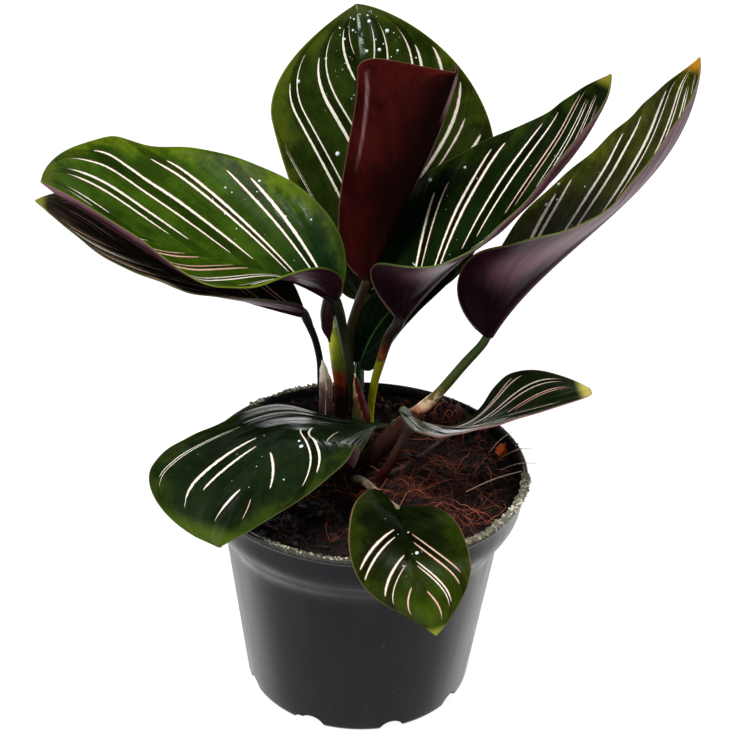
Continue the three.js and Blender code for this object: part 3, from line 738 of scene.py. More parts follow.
def face_finish(name, leaves):
    look = FACES[name]
    seed = list(FACES).index(name) + 1
    finish = Finish(f"calathea_face_{name}")
    core, border, band, tint = stripe_lines(finish, seed, leaves.stripe * look["line"])
    along, edge, beside = finish["along"], finish["edge"], abs(finish["across"])
    fine = vein_grain(finish, 3.0, seed)
    cloud = finish.noise(85.0, 5.0, 0.65)
    ahead = along.step(0.04, 0.34, 0.25, 1.0)
    outer = (edge + cloud.step(0.35, 0.65, 2.5, -2.5)).step(0.5, 8.0, 0.75, 0.0) * ahead
    tone = (fine * 0.22 + cloud * 0.78).step(0.36, 0.64, 0.46, 1.05) * (1.0 - band * 0.45)
    green = finish.blend(along.step(*look["ramp"]), look["base"], look["middle"])
    green = finish.scaled(finish.blend(outer, green, look["margin"]), tone)
    if look["rib"]:
        green = finish.blend(beside.step(0.0, 0.06, look["rib"], 0.0), green, linear(96, 140, 70))
    green = finish.blend(along.step(0.95, 0.985), green, look["tip"])
    if name == "back":
        # Painted glint: pale flecks on the midrib near the tip.
        pale = along.step(0.84, 0.92) * finish.noise(400.0).step(0.4, 0.6)
        pale = pale * beside.step(0.02, 0.05, 0.8, 0.0)
        green = finish.blend(pale, green, linear(214, 226, 214))
    paint = finish.blend(edge.step(0.08, 0.4, 0.6, 0.0) * ahead, green, look["rim"])
    if look["stripe"]:
        pink = tint.step(1.0 - look["pink"], 1.3 - look["pink"], 0.0, 0.85)
        paint = finish.blend(border * (0.75 * look["stripe"]), paint, linear(110, 56, 40))
        line = finish.blend(pink, leaves.cream[:], leaves.pink[:])
        paint = finish.blend(core * look["stripe"], paint, line)
    gloss_and_painted_sheen = gloss_and_painted_sheen_streaks(finish, name, seed)
    swell = vein_grain(finish, 1.2, seed + 40, 2.2) * (gloss_and_painted_sheen * 2.5 + 0.5)
    return finish.done(
        # Painted highlight: the gloss patches blend a pale silvery sheen into the colour.
        Base_Color=finish.blend(gloss_and_painted_sheen.step(0.35, 0.95, 0.0, 0.65), paint, linear(204, 212, 206)),
        Roughness=fine.step(0.3, 0.7, 0.26, 0.36) - gloss_and_painted_sheen * 0.14,
        Normal=finish.bump(finish.noise(420.0, 2.0) + swell, 0.14 * MM, 0.8),
        Specular_IOR_Level=finish.facing().step(0.3, 0.6, 0.035, 0.0) + gloss_and_painted_sheen * 0.8,
    )


def underside_finish(leaves):
    """Burgundy underside: purple ahead and darkened to near black at the base as painted shade, with fine
    satin veins, and a painted pale sheen along the margins and on the flaps.
    """
    finish = Finish("calathea_underside")
    fine = vein_grain(finish, 2.5, 3)
    cloud = finish.noise(45.0, 4.0, 0.6)
    along, edge, beside = finish["along"], finish["edge"], abs(finish["across"])
    # Painted shade: the tone falls to near black towards the base.
    tone = (fine * 0.3 + cloud * 0.7).step(0.36, 0.64, 0.2, 1.0) * along.step(0.08, 0.6, 0.12, 1.0)
    paint = finish.blend(tone, linear(13, 2, 6), leaves.underside[:])
    paint = finish.blend(beside.step(0.0, 0.05, 0.35, 0.0), paint, linear(84, 30, 34))
    # Painted sheen: a pale mauve band along the margins and a shine on the flaps near the base.
    painted_margin_sheen = (edge + cloud.step(0.3, 0.7, 1.5, -1.5)).step(0.5, 5.5, 0.6, 0.0) * along.step(0.22, 0.55)
    shine = beside.step(0.12, 0.42) * beside.step(0.5, 0.9, 1.0, 0.0) * fine.step(0.3, 0.7, 0.35, 0.65)
    shine = shine * along.step(0.09, 0.24) * along.step(0.25, 0.6, 1.0, 0.25)
    paint = finish.blend(painted_margin_sheen.most(shine), paint, linear(150, 108, 120))
    return finish.done(
        Base_Color=finish.blend(edge.step(0.1, 0.5, 0.6, 0.0), paint, linear(128, 96, 76)),
        Roughness=fine.step(0.3, 0.7, 0.3, 0.42),
        Normal=finish.bump(fine + finish.noise(380.0, 2.0), 0.1 * MM, 0.5),
        Specular_IOR_Level=0.05,
        Sheen_Weight=0.12,
        Sheen_Roughness=0.35,
        Sheen_Tint=linear(214, 170, 186),
    )


def burgundy_finish():
    """The folded leaf's underside: smooth burgundy, with painted shade that turns it near black by the fold,
    and painted highlights where it rolls and along the fold.
    """
    finish = Finish("calathea_burgundy")
    fine = vein_grain(finish, 1.5, 7)
    along, across, crease = finish["along"], finish["across"], abs(finish["across"])
    # lit is painted light and shade: near black by the fold, brighter towards the margin and the tip.
    lit = across.step(0.05, 0.8) * vein_grain(finish, 0.7, 21, 2.5).step(0.34, 0.62, 0.7, 1.05)
    lit = lit * finish.noise(55.0, 4.0, 0.6).step(0.34, 0.64, 0.35, 1.1) * along.step(0.25, 0.8, 0.5, 1.1)
    low = along.step(0.1, 0.36, 1.0, 0.0) * fine.step(0.35, 0.65) * 0.3
    bent = across + along.step(0.35, 0.75, 0.03, -0.05)
    # Painted highlights: a pale band where the blade rolls, and a pale strip and a thin line along the fold.
    roll = bent.step(0.79, 0.84) * bent.step(0.84, 0.875, 1.0, 0.0) * fine.step(0.3, 0.7, 0.2, 0.55)
    roll = roll * along.step(0.32, 0.5) * along.step(0.64, 0.74, 1.0, 0.0)
    fold = crease.step(0.01, 0.04, 1.0, 0.0) * along.step(0.66, 0.8) * along.step(0.9, 0.95, 1.0, 0.0)
    line = crease.step(0.002, 0.01, 1.0, 0.0) * along.step(0.35, 0.5)
    paint = finish.blend(lit, linear(16, 4, 3), linear(72, 19, 17))
    paint = finish.blend(low, paint, linear(60, 18, 14))
    paint = finish.blend(roll.most(fold.most(line) * 0.6), paint, linear(172, 132, 134))
    return finish.done(
        Base_Color=finish.blend(finish["edge"].step(0.1, 0.5, 0.4, 0.0), paint, linear(150, 104, 92)),
        Roughness=fine.step(0.3, 0.7, 0.3, 0.4),
        Normal=finish.bump(finish.noise(300.0, 2.0), 0.06 * MM, 0.5),
        Specular_IOR_Level=0.01,
    )


# ---------------- stems
def smooth_path(points, spacing):
    """A centripetal curve through the points, as an array of places and one of radii."""
    p = np.asarray(points, float)
    padded = np.vstack((2 * p[0] - p[1], p, 2 * p[-1] - p[-2]))[:, :3]
    places, radii = [], []
    for k in range(len(p) - 1):
        x0, x1, x2, x3 = padded[k : k + 4]
        d0, d1, d2 = (math.sqrt(np.linalg.norm(b - a)) for a, b in ((x0, x1), (x1, x2), (x2, x3)))
        m1 = ((x1 - x0) / d0 - (x2 - x0) / (d0 + d1) + (x2 - x1) / d1) * d1
        m2 = ((x2 - x1) / d1 - (x3 - x1) / (d1 + d2) + (x3 - x2) / d2) * d1
        square, cube = 3 * (x2 - x1) - 2 * m1 - m2, 2 * (x1 - x2) + m1 + m2
        steps = max(2, round(np.linalg.norm(x2 - x1) / spacing))
        for t in (i / steps for i in range(steps)):
            places.append(x1 + m1 * t + square * t**2 + cube * t**3)
            radii.append(p[k][3] + (p[k + 1][3] - p[k][3]) * t * t * (3 - 2 * t))
    return np.array([*places, p[-1][:3]]), np.array([*radii, p[-1][3]])


def turning_frames(places, start):
    """Two directions across the path at each place, which turn as little as they can."""
    tangents = unit(np.gradient(places, axis=0))
    firsts = [np.asarray(start, float)]
    for tangent in tangents:
        firsts.append(unit(firsts[-1] - tangent * np.dot(firsts[-1], tangent)))
    firsts = np.array(firsts[1:])
    return tangents, firsts, np.cross(tangents, firsts)


def ring_points(places, first, second, reach, turn):
    """Points round each place, as (place, turn, xyz)."""
    ways = first[:, None] * np.cos(turn)[None, :, None] + second[:, None] * np.sin(turn)[None, :, None]
    return places[:, None] + reach[..., None] * ways


def make_rod(name, points, sides, spacing, flap=None):
    """A round stem along the points. flap gives a sheath that wraps it: the angle of its open edge,
    how far that drifts along the stem, how proud it stands, and where it begins."""
    places, radii = smooth_path(points, spacing)
    tangents, first, second = turning_frames(places, (1, 0, 0))
    turn = np.linspace(0, FULL_TURN, sides, endpoint=False)
    along = np.concatenate(([0], np.cumsum(np.linalg.norm(np.diff(places, axis=0), axis=1))))[:, None]
    along = along / along[-1] * np.ones(sides)
    reach = np.repeat(radii[:, None], sides, axis=1)
    lag, behind = 0 * reach, 0 * reach - 1
    if flap:
        edge, drift, proud, begin = flap
        lag = (turn - edge - drift * along) % FULL_TURN
        grown = np.clip((along - begin) / 0.08, 0, 1)
        reach = reach * (1 - 0.08 * grown) + proud * grown * (1 - lag / FULL_TURN)
        behind = np.where(grown > 0.3, lag * reach, -1.0)
    ring = ring_points(places, first, second, reach, turn)
    top, rows = len(places) * sides, len(places) - 1
    faces = grid_faces(rows, sides, closed=True)
    faces += fan_faces(top, 0, sides, flipped=True) + fan_faces(top + 1, rows * sides, sides)
    crown = places[:1] - tangents[:1] * radii[0] * 0.35
    piece = mesh_object(name, np.concatenate((ring.reshape(-1, 3), crown, places[-1:])), faces)
    for key, values, ends in (
        ("along", along, (0, 1)),
        ("height", ring[..., 2], (places[0, 2], places[-1, 2])),
        ("behind", behind, (-1, -1)),
        ("lag", lag, (0, 0)),
        ("facing", np.tile(np.cos(turn), rows + 1), (0, 0)),
    ):
        point_values(piece, key, np.concatenate((values.ravel(), ends)))
    return piece


def petiole_points(name):
    """A petiole's points, with the two by which it starts in its blade."""
    points = PETIOLES[name]
    place, tangent, _, _ = rib_frame(BLADES[name], np.array([0.0]))
    radius = points[0][3]
    return [(*(place[0] + tangent[0] * 1.4), radius * 0.7), (*place[0], radius * 0.95), *points]


def stem(*levels, **extra):
    """A stem's look: from the top down, a height in millimetres and the screen colour there. extra
    may give the colours of a sheath's margin (lip) and of its inside, and how rough it is."""
    return dict(levels=levels, **extra)


def stem_finish(name, look):
    """A satin stem whose colour changes with height, with fine lines along it."""
    finish = Finish(name)
    height, behind = finish["height"], finish["behind"]
    place = height + finish.noise(220.0, 2.0).step(0.3, 0.7, -2.5, 2.5)
    levels = look["levels"]
    paint = linear(*levels[-1][1:])
    for (upper, *tint), (lower, *_) in zip(levels[-2::-1], levels[:0:-1]):
        paint = finish.blend(place.step(lower, upper), paint, linear(*tint))
    lines = finish.noise(1.0, 4.0, 0.65, finish["facing"] * 9.0, height * 0.05, 0.0)
    paint = finish.scaled(paint, lines.step(0.35, 0.7, 0.7, 1.35))
    if "inside" in look:
        inside = finish["lag"].step(3.4, 4.1) * behind.step(-0.5, 0.0)
        paint = finish.blend(inside, paint, linear(*look["inside"]))
    lip = behind.step(-0.1, 0.05) * behind.step(0.3, 0.8, 1.0, 0.0)
    rough = look.get("rough", 0.36)
    return finish.done(
        Base_Color=finish.blend(lip, paint, linear(*look.get("lip", levels[0][1:]))),
        Roughness=lines.step(0.3, 0.7, rough - 0.06, rough + 0.08),
        Normal=finish.bump(lines + finish.noise(500.0, 2.0), 0.15 * MM, 0.4),
        Specular_IOR_Level=0.1,
    )


STEM_LOOKS = {
    "back": stem((120, 64, 70, 30), (88, 58, 40, 28)),
    "folded": stem((150, 50, 34, 20), (125, 50, 44, 20), (95, 44, 30, 20)),
    "left_upper": stem(
        (146, 26, 30, 18), (128, 46, 50, 28), (114, 32, 34, 18), (104, 26, 16, 14), (88, 24, 10, 12)
    ),
    "left_lower": stem((145, 18, 24, 16), (110, 24, 32, 18), (92, 34, 24, 20)),
    "right_upper": stem((142, 34, 24, 16), (130, 110, 56, 28), (122, 150, 148, 30), (98, 196, 200, 30)),
    "right_far": stem(
        (142, 60, 76, 34), (124, 74, 84, 34), (120, 110, 100, 50), (118, 240, 206, 164), (115, 196, 130, 96),
        (112, 84, 50, 38), (104, 52, 30, 24), (88, 36, 16, 16), lip=(206, 118, 84),
    ),
    "drooping": stem((96, 46, 60, 40), (88, 60, 44, 30), (84, 50, 24, 22)),
    "front": stem((90, 150, 136, 110), (87, 96, 78, 58), (84, 72, 52, 40)),
    "right_low": stem((114, 96, 100, 84), (107, 60, 44, 36), (95, 66, 30, 26), (86, 50, 16, 18)),
    "young": stem((110, 40, 64, 34), (98, 60, 80, 40), (86, 60, 50, 32)),
    "green": stem(
        (142, 206, 200, 140), (136, 150, 160, 60), (130, 196, 204, 60), (117, 130, 140, 50),
        (113, 170, 72, 38), (108, 92, 34, 26), (101, 44, 18, 18), lip=(240, 232, 204),
    ),
    "red": stem(
        (120, 220, 214, 160), (113, 170, 150, 100), (109, 84, 76, 38), (98, 44, 48, 24),
        lip=(214, 70, 44), inside=(72, 20, 26),
    ),
    "dry": stem(
        (127, 255, 248, 226), (121, 255, 234, 206), (115, 176, 138, 120), (109, 96, 64, 58),
        (98, 50, 28, 28), lip=(255, 236, 212), rough=0.6,
    ),
    "rolled_leaf": stem((150, 34, 12, 18), (138, 48, 18, 26), rough=0.3),
    "dry_stalk": stem((90, 92, 76, 66), (84, 70, 56, 48), rough=0.7),
}
FLAPS = {  # the angle of a sheath's open edge, its drift, how proud it stands, where it begins
    "right_far": (2.3, 0.0, 0.5, 0.36),
    "green": (2.9, 0.4, 0.3, 0.05),
    "red": (2.3, -3.05, 0.35, 0.02),
    "dry": (1.2, 0.6, 0.3, 0.05),
}
STEM_SLOTS = {
    "left_lower": "petiole_dark",
    "right_upper": "petiole_yellow_green",
    "right_far": "petiole_burgundy",
    "right_low": "petiole_burgundy",
    "green": "petiole_yellow_green",
    "red": "petiole_burgundy",
    "dry": "sheath_dry",
}


def add_stem(kind, node, name, points, stems):
    """Adds one petiole or sheath, which goes on down into the soil."""
    x, y, z, radius = points[-1]
    points = [*points, (x, y, z - STEM_DEPTH + 0.5, radius)]
    piece = make_rod(f"{kind}_{name}", points, stems.sides, stems.ring_step / MM, FLAPS.get(name))
    finish = stem_finish(f"{kind}_{name}", STEM_LOOKS[name])
    give(piece, STEM_SLOTS.get(name, "petiole_olive"), finish, nodes=(f"{node}_{name}",))


# ---------------- pot
BASE_RADIUS, NECK_RADIUS, COLLAR_RADIUS = 41.9, 51.7, 57.7
COLLAR_HEIGHT, RIM_BAND = 15.0, 2.2
WALL, FLOOR, CORNER = 1.5, 1.6, 1.7
CORNER_ROUND, PROFILE_STEP = 5.0, 4.0
STEP_LEVEL = POT_TOP.z / MM - COLLAR_HEIGHT
# Drainage arches through the bottom corner: degrees from the front, towards the right, and radius.
NOTCHES = (
    (-28.5, 3.4), (-22.5, 5.0), (18.5, 4.7), (56, 5.1), (97, 5.1), (137, 5.1), (177, 5.1), (217, 5.1),
    (-66, 5.1),
)
SHARP_ANGLE = math.radians(38)
NOTCH_SUNK, NOTCH_FROM, NOTCH_TO = 0.5, 33.5, BASE_RADIUS + 6


def rounded(corners):
    """The corners of a profile joined by short arcs."""
    points = [corners[0]]
    for before, corner, after in zip(corners, corners[1:], corners[2:]):
        back, ahead = before - corner, after - corner
        reach = min(CORNER_ROUND, 0.45 * np.linalg.norm(back), 0.45 * np.linalg.norm(ahead))
        begin, end = corner + unit(back) * reach, corner + unit(ahead) * reach
        for t in np.linspace(0, 1, 5):
            points.append((1 - t) ** 2 * begin + 2 * t * (1 - t) * corner + t * t * end)
    return points + [corners[-1]]


def resampled(profile):
    """The profile with extra points, so that no stretch is longer than the profile's step."""
    points = [profile[0]]
    for a, b in zip(profile, profile[1:]):
        steps = max(1, math.ceil(math.dist(a, b) / PROFILE_STEP))
        points += [a + (b - a) * k / steps for k in range(1, steps + 1)]
    return points


def pot_profile(rim, height):
    """The pot's wall as (radius, height), from the floor's middle up inside and down outside."""
    step = height - COLLAR_HEIGHT
    inner = [
        (0, FLOOR), (BASE_RADIUS - CORNER - WALL / 2, FLOOR), (BASE_RADIUS - WALL * 1.9, FLOOR + CORNER / 2),
        (BASE_RADIUS - WALL * 0.9, FLOOR + CORNER), (NECK_RADIUS - WALL, step - WALL),
        (COLLAR_RADIUS - WALL, step + WALL), (rim - WALL - 0.8, height - RIM_BAND), (rim - WALL, height),
    ]
    outer = [
        (rim, height), (rim, height - RIM_BAND), (rim - 0.9, height - RIM_BAND - 0.6),
        (COLLAR_RADIUS, step + 1.2), (NECK_RADIUS - 0.5, step - 6.5), (BASE_RADIUS + 0.3, CORNER),
        (BASE_RADIUS - CORNER * 0.3, CORNER * 0.3), (BASE_RADIUS - CORNER, 0), (0, 0),
    ]
    profile = rounded([np.array(corner, float) for corner in inner + outer])
    return [profile[0], *resampled(profile[1:-1]), profile[-1]]


def revolve(profile, segments):
    """A closed body of revolution; the profile's first and last points lie on the axis."""
    turn = np.linspace(0, FULL_TURN, segments, endpoint=False)
    radius, height = (column[:, None] for column in np.array(profile[1:-1]).T)
    grid = np.stack((radius * np.sin(turn), -radius * np.cos(turn), height + 0 * turn), axis=-1)
    last, rows = grid[..., 0].size, len(grid) - 1
    faces = grid_faces(rows, segments, closed=True, flipped=True) + fan_faces(last, 0, segments)
    faces += fan_faces(last + 1, rows * segments, segments, flipped=True)
    return [*grid.reshape(-1, 3), (0, 0, profile[0][1]), (0, 0, profile[-1][1])], faces


def cut_notches(piece):
    """Cuts the drainage arches through the bottom corner."""
    turn = np.linspace(0, FULL_TURN, 32, endpoint=False)
    n = len(turn)
    faces = grid_faces(1, n, closed=True) + [tuple(range(n))[::-1], tuple(range(n, 2 * n))]
    bpy.context.view_layer.objects.active = piece
    for place, radius in NOTCHES:
        angle = math.radians(place)
        out = np.array((math.sin(angle), -math.cos(angle), 0))
        side = np.array((math.cos(angle), math.sin(angle), 0))
        arch = radius * np.cos(turn)[:, None] * side
        arch[:, 2] = radius * np.sin(turn) - NOTCH_SUNK
        ends = np.concatenate((arch + out * NOTCH_FROM, arch + out * NOTCH_TO))
        cutter = mesh_object("notch_cutter", ends, faces)
        cut = piece.modifiers.new("notch", "BOOLEAN")
        cut.operation, cut.solver, cut.object = "DIFFERENCE", "EXACT", cutter
        bpy.ops.object.modifier_apply(modifier=cut.name)
        bpy.data.objects.remove(cutter)


def pot_finish(pot):
    """Black satin plastic with drip marks, dust and a worn rim."""
    finish = Finish("pot_plastic")
    x, y, height = finish.parts("SeparateXYZ", finish.place())
    drips = finish.noise(95.0, 4.0, 0.6, x, y, height * 0.12)
    dust = finish.noise(260.0, 5.0, 0.7)
    cloud = finish.noise(30.0, 3.0)
    rim = height.step(pot.height - RIM_BAND * MM, pot.height - 0.3 * MM)
    speck = finish.noise(520.0, 4.0, 0.75).step(0.54, 0.68)
    worn = rim * (speck * 0.6 + 0.15) * finish.noise(45.0, 2.0).step(0.4, 0.62)
    fleck = dust.step(0.62, 0.74) * cloud.step(0.5, 0.75, 0.0, 0.6)
    paint = finish.blend(drips.step(0.45, 0.75, 0.0, 0.3), pot.plastic[:], linear(40, 42, 46))
    paint = finish.blend(cloud.step(0.4, 0.7, 0.0, 0.3), paint, linear(12, 12, 14))
    paint = finish.blend(worn, paint, linear(150, 148, 130))
    step = pot.height - COLLAR_HEIGHT * MM
    under = height.step(step - 9 * MM, step - 4 * MM) * height.step(step - 1 * MM, step + 3 * MM, 1.0, 0.0)
    ribs = (height * (FULL_TURN / (1.4 * MM))).sine()
    return finish.done(
        Base_Color=finish.blend(fleck, paint, pot.scuff[:]),
        Roughness=drips.step(0.3, 0.7, 0.22, 0.36) + worn * 0.3,
        Normal=finish.bump(ribs * 0.03 + dust + drips, 0.2 * MM, 0.35),
        Specular_IOR_Level=finish.facing().step(0.45, 0.9, 0.13, 1.0) * (1.0 - under * 0.85),
    )


# ---------------- soil
CUBE = [(x, y, z) for z in (-1, 1) for x, y in ((-1, -1), (1, -1), (1, 1), (-1, 1))]
CUBE_FACES = [(0, 3, 2, 1), (4, 5, 6, 7), (0, 1, 5, 4), (1, 2, 6, 5), (2, 3, 7, 6), (3, 0, 4, 7)]
CHIP_BEVEL = 0.12
BACK_CRUMBS = 190  # coarse crumbs banked up against the pot's back wall
ORANGE_BARK = (  # place and size of three orange chips at the right
    ((51.3, 19.0), (1.9, 1.5, 1.6)),
    ((50.2, 17.2), (1.3, 0.9, 1.1)),
    ((52.0, 21.0), (1.1, 0.8, 0.9)),
)
FIBRE_BEDS = (  # share, centre, spread, lengths and arches of the fibres that lie there
    (0.25, (0, 0), 34, (6, 20), (0.1, 1.2)),
    (0.55, (27, -4), 17, (6, 26), (0.3, 2.6)),
    (0.2, (32, 42), 7, (4, 10), (1.0, 4.0)),
)
LOOSE_FIBRES = (  # from, to, how high it arches and its radius
    ((37, -13, 88.5), (57, -3, 91.5), 1.0, 0.26),
    ((51, 11, 88.5), (63, 13, 91.0), 1.6, 0.13),
    ((50, 2, 88.5), (64.5, 3.5, 90.5), 1.8, 0.13),
    ((46, 14, 88), (56, 24, 92), 1.5, 0.12),
)
FIBRE_SIDES, FIBRE_STEP = 5, 1.6
FIBRE_LIMIT = 55.0  # how far from the pot's middle a fibre may run
DRY_STALK = ((36, 31.5), (29, 24), (21, 15), (13, 6.5), (5, -2.4))
RIM_CRUST = (  # degrees from the front, towards the right: from, to, how many crumbs and their size
    (-36, -2, 150, 0.33),
    (30, 88, 560, 0.7),
    (-172, -132, 190, 0.5),
    (96, 150, 40, 0.3),
)


def inner_radius(height):
    """Radius of the pot's inside at a height."""
    heights = (FLOOR + CORNER, STEP_LEVEL - WALL, STEP_LEVEL + WALL, 87.8)
    radii = (BASE_RADIUS - WALL * 0.9, NECK_RADIUS - WALL, COLLAR_RADIUS - WALL, 57.7)
    return float(np.interp(height, heights, radii))


SOIL_EDGE = inner_radius(SOIL_LEVEL) - 0.15
SOIL_BASE = FLOOR + 0.2
SOIL_RINGS = (76.8, 73.2, 40.0, 8.0, SOIL_BASE)  # heights down the soil's side


def soil_height(x, y):
    """The soil's rough top: coarse clumps, crumbs and a heap at the back right."""
    base = 0.8 * math.sin(x / 6.1 + 0.7) * math.cos(y / 7.3) + 0.5 * math.sin((x + y) / 3.7)
    heap = 3.2 * math.exp(-((x - 32) ** 2 + (y - 42) ** 2) / 110)
    heap += math.exp(-((x - 34) ** 2 + (y - 18) ** 2) / 300)
    bank = 2.4 * float(np.interp(math.hypot(x, y), (44, 55), (0, 1)) * np.interp(y, (14, 38), (0, 1)))
    clod = noise.fractal(Vector((x / 5.5, y / 5.5, 3.1)), 0.9, 2.2, 4)
    crumb = abs(noise.noise(Vector((x / 1.7, y / 1.7, 8.4))))
    crumb += 0.5 * abs(noise.noise(Vector((x / 0.8, y / 0.8, 1.2))))
    return SOIL_LEVEL + base + heap + bank + 1.1 * clod + 1.1 * crumb - 0.5


def make_soil(segments=300, rings=88):
    rows = [(SOIL_EDGE * k / rings, None) for k in range(1, rings + 1)]
    for level in SOIL_RINGS:
        rows.append((inner_radius(max(level, 6.3)) - (0.2 if level > 7.5 else 7.5), level))
    points = [(0, 0, soil_height(0, 0))]
    for radius, level in rows:
        for a in np.linspace(0, FULL_TURN, segments, endpoint=False):
            x, y = radius * math.cos(a), radius * math.sin(a)
            points.append((x, y, soil_height(x, y) if level is None else level))
    points.append((0, 0, SOIL_BASE))
    faces = fan_faces(0, 1, segments) + grid_faces(len(rows) - 1, segments, 1, closed=True, flipped=True)
    faces += fan_faces(len(points) - 1, len(points) - 1 - segments, segments, flipped=True)
    return mesh_object("soil_body", points, faces)


def chip_points(draw, centre, size):
    """An angular crumb: a box with its corners pushed about, turned at random."""
    spin = Matrix.Rotation(draw.uniform(0, 6.28), 3, "Z") @ Matrix.Rotation(draw.uniform(-0.9, 0.9), 3, "X")
    return [
        Vector(centre) + spin @ Vector([c * s * draw.uniform(0.55, 1.05) for c, s in zip(corner, size)])
        for corner in CUBE
    ]


def make_chips(chips):
    draw = random.Random(SEEDS["chips"])
    bits = Bits()
    for _ in range(chips):
        r, a = (SOIL_EDGE - 1.5) * math.sqrt(draw.random()), draw.uniform(0, FULL_TURN)
        x, y = r * math.cos(a), r * math.sin(a)
        big = draw.random() ** 3
        size = (0.5 + 2.0 * big, 0.4 + 1.1 * big * draw.random(), 0.25 + 0.7 * big)
        centre = (x, y, soil_height(x, y) + 0.1 + 0.3 * size[2])
        bits.add(chip_points(draw, centre, size), CUBE_FACES, draw.random())
    for _ in range(BACK_CRUMBS):
        r, a = draw.uniform(47, SOIL_EDGE - 1.5), draw.uniform(0.3, 2.9)
        x, y = r * math.cos(a), r * math.sin(a)
        size = [draw.uniform(0.5, 1.0) * s for s in (2.2, 1.5, 1.1)]
        bits.add(chip_points(draw, (x, y, soil_height(x, y) + 0.4), size), CUBE_FACES, draw.random())
    for place, size in ORANGE_BARK:
        bits.add(chip_points(draw, (*place, soil_height(*place) + 1.6), size), CUBE_FACES, 2.0)
    piece = bits.piece("bark_chips")
    bevel = piece.modifiers.new("worn", "BEVEL")
    bevel.width, bevel.segments = CHIP_BEVEL * MM, 2
    return piece


def make_crust():
    """Dried soil and lime on the pot's rim."""
    draw = random.Random(SEEDS["crust"])
    rim = POT_TOP / MM
    bits = Bits()
    for start, end, crumbs, size in RIM_CRUST:
        for _ in range(crumbs):
            angle = math.radians(draw.uniform(start, end))
            r = rim.x - draw.uniform(0.1, 1.7)
            scale = size * draw.uniform(0.35, 1.3)
            centre = (r * math.sin(angle), -r * math.cos(angle), rim.z + 0.1 * draw.random())
            bits.add(chip_points(draw, centre, (scale * 1.5, scale, scale * 0.5)), CUBE_FACES)
    bits.tints = np.repeat([draw.random() for _ in range(len(bits.points) // 8)], 8)
    return bits.piece("rim_crust")


def fibre_path(draw, x, y, reach, arch):
    heading = draw.uniform(0, FULL_TURN)
    bend = draw.uniform(-0.16, 0.16)
    places = []
    steps = max(6, int(reach / FIBRE_STEP))
    for k in range(steps + 1):
        if math.hypot(x, y) > FIBRE_LIMIT:
            break
        places.append((x, y, soil_height(x, y) + 0.35 + arch * math.sin(math.pi * k / steps)))
        bend += draw.uniform(-0.14, 0.14)
        heading += bend * 0.6
        x += reach / steps * math.cos(heading)
        y += reach / steps * math.sin(heading)
    return places


def make_fibres(fibres):
    draw = random.Random(SEEDS["fibres"])
    paths = []
    for share, centre, spread, lengths, arches in FIBRE_BEDS:
        for _ in range(round(fibres * share)):
            x, y = (draw.gauss(middle, spread) for middle in centre)
            if math.hypot(x, y) < SOIL_EDGE - 1:
                path = fibre_path(draw, x, y, draw.uniform(*lengths), draw.uniform(*arches))
                paths.append((path, draw.uniform(0.07, 0.15), draw.random()))
    for start, end, arch, radius in LOOSE_FIBRES:
        line = np.linspace(start, end, 12)
        line[:, 2] += arch * np.sin(np.linspace(0, math.pi, 12))
        paths.append((line, radius, 1.4))
    bits = Bits()
    turn = np.linspace(0, FULL_TURN, FIBRE_SIDES, endpoint=False)
    for path, radius, tint in paths:
        rings = len(path)
        if rings < 4:
            continue
        _, first, second = turning_frames(np.array(path), (0, 0, 1))
        taper = np.sin(np.pi * np.clip((np.arange(rings) + 0.6) / rings, 0, 1))
        reach = radius * (0.35 + 0.65 * taper)[:, None] * np.ones(FIBRE_SIDES)
        end = (rings - 1) * FIBRE_SIDES
        caps = [tuple(range(FIBRE_SIDES - 1, -1, -1)), tuple(range(end, end + FIBRE_SIDES))]
        points = ring_points(np.array(path), first, second, reach, turn).reshape(-1, 3)
        bits.add(points, grid_faces(rings - 1, FIBRE_SIDES, closed=True) + caps, tint)
    return bits.piece("coir_fibres")


def soil_finish(soil):
    finish = Finish("potting_soil")
    coarse = finish.noise(210.0, 5.0, 0.65)
    fine = finish.noise(950.0, 4.0, 0.7)
    paint = finish.blend(coarse.step(0.42, 0.7), soil.dark[:], soil.brown[:])
    return finish.done(
        Base_Color=finish.blend(fine.step(0.6, 0.8, 0.0, 0.5), paint, linear(92, 50, 34)),
        Roughness=coarse.step(0.3, 0.7, 0.62, 0.9),
        Normal=finish.bump(coarse + fine, 0.8 * MM, 0.8),
        Specular_IOR_Level=0.25,
    )


def crumb_finish(name, dark, light, special, rough):
    """Crumbs or fibres whose colour follows their own tint; a tint over 1 is the special colour."""
    finish = Finish(name)
    tint = finish["tint"]
    grain = finish.noise(800.0, 4.0, 0.7)
    tone = (tint**3.5 * 0.85 + grain * 0.3).step(0.1, 1.0)
    paint = finish.blend(tone, linear(*dark), linear(*light))
    return finish.done(
        Base_Color=finish.blend(tint.step(1.05, 1.15), paint, linear(*special)),
        Roughness=grain.step(0.3, 0.7, rough - 0.1, rough + 0.1),
        Normal=finish.bump(grain, 0.3 * MM, 0.6),
        Specular_IOR_Level=0.25,
    )


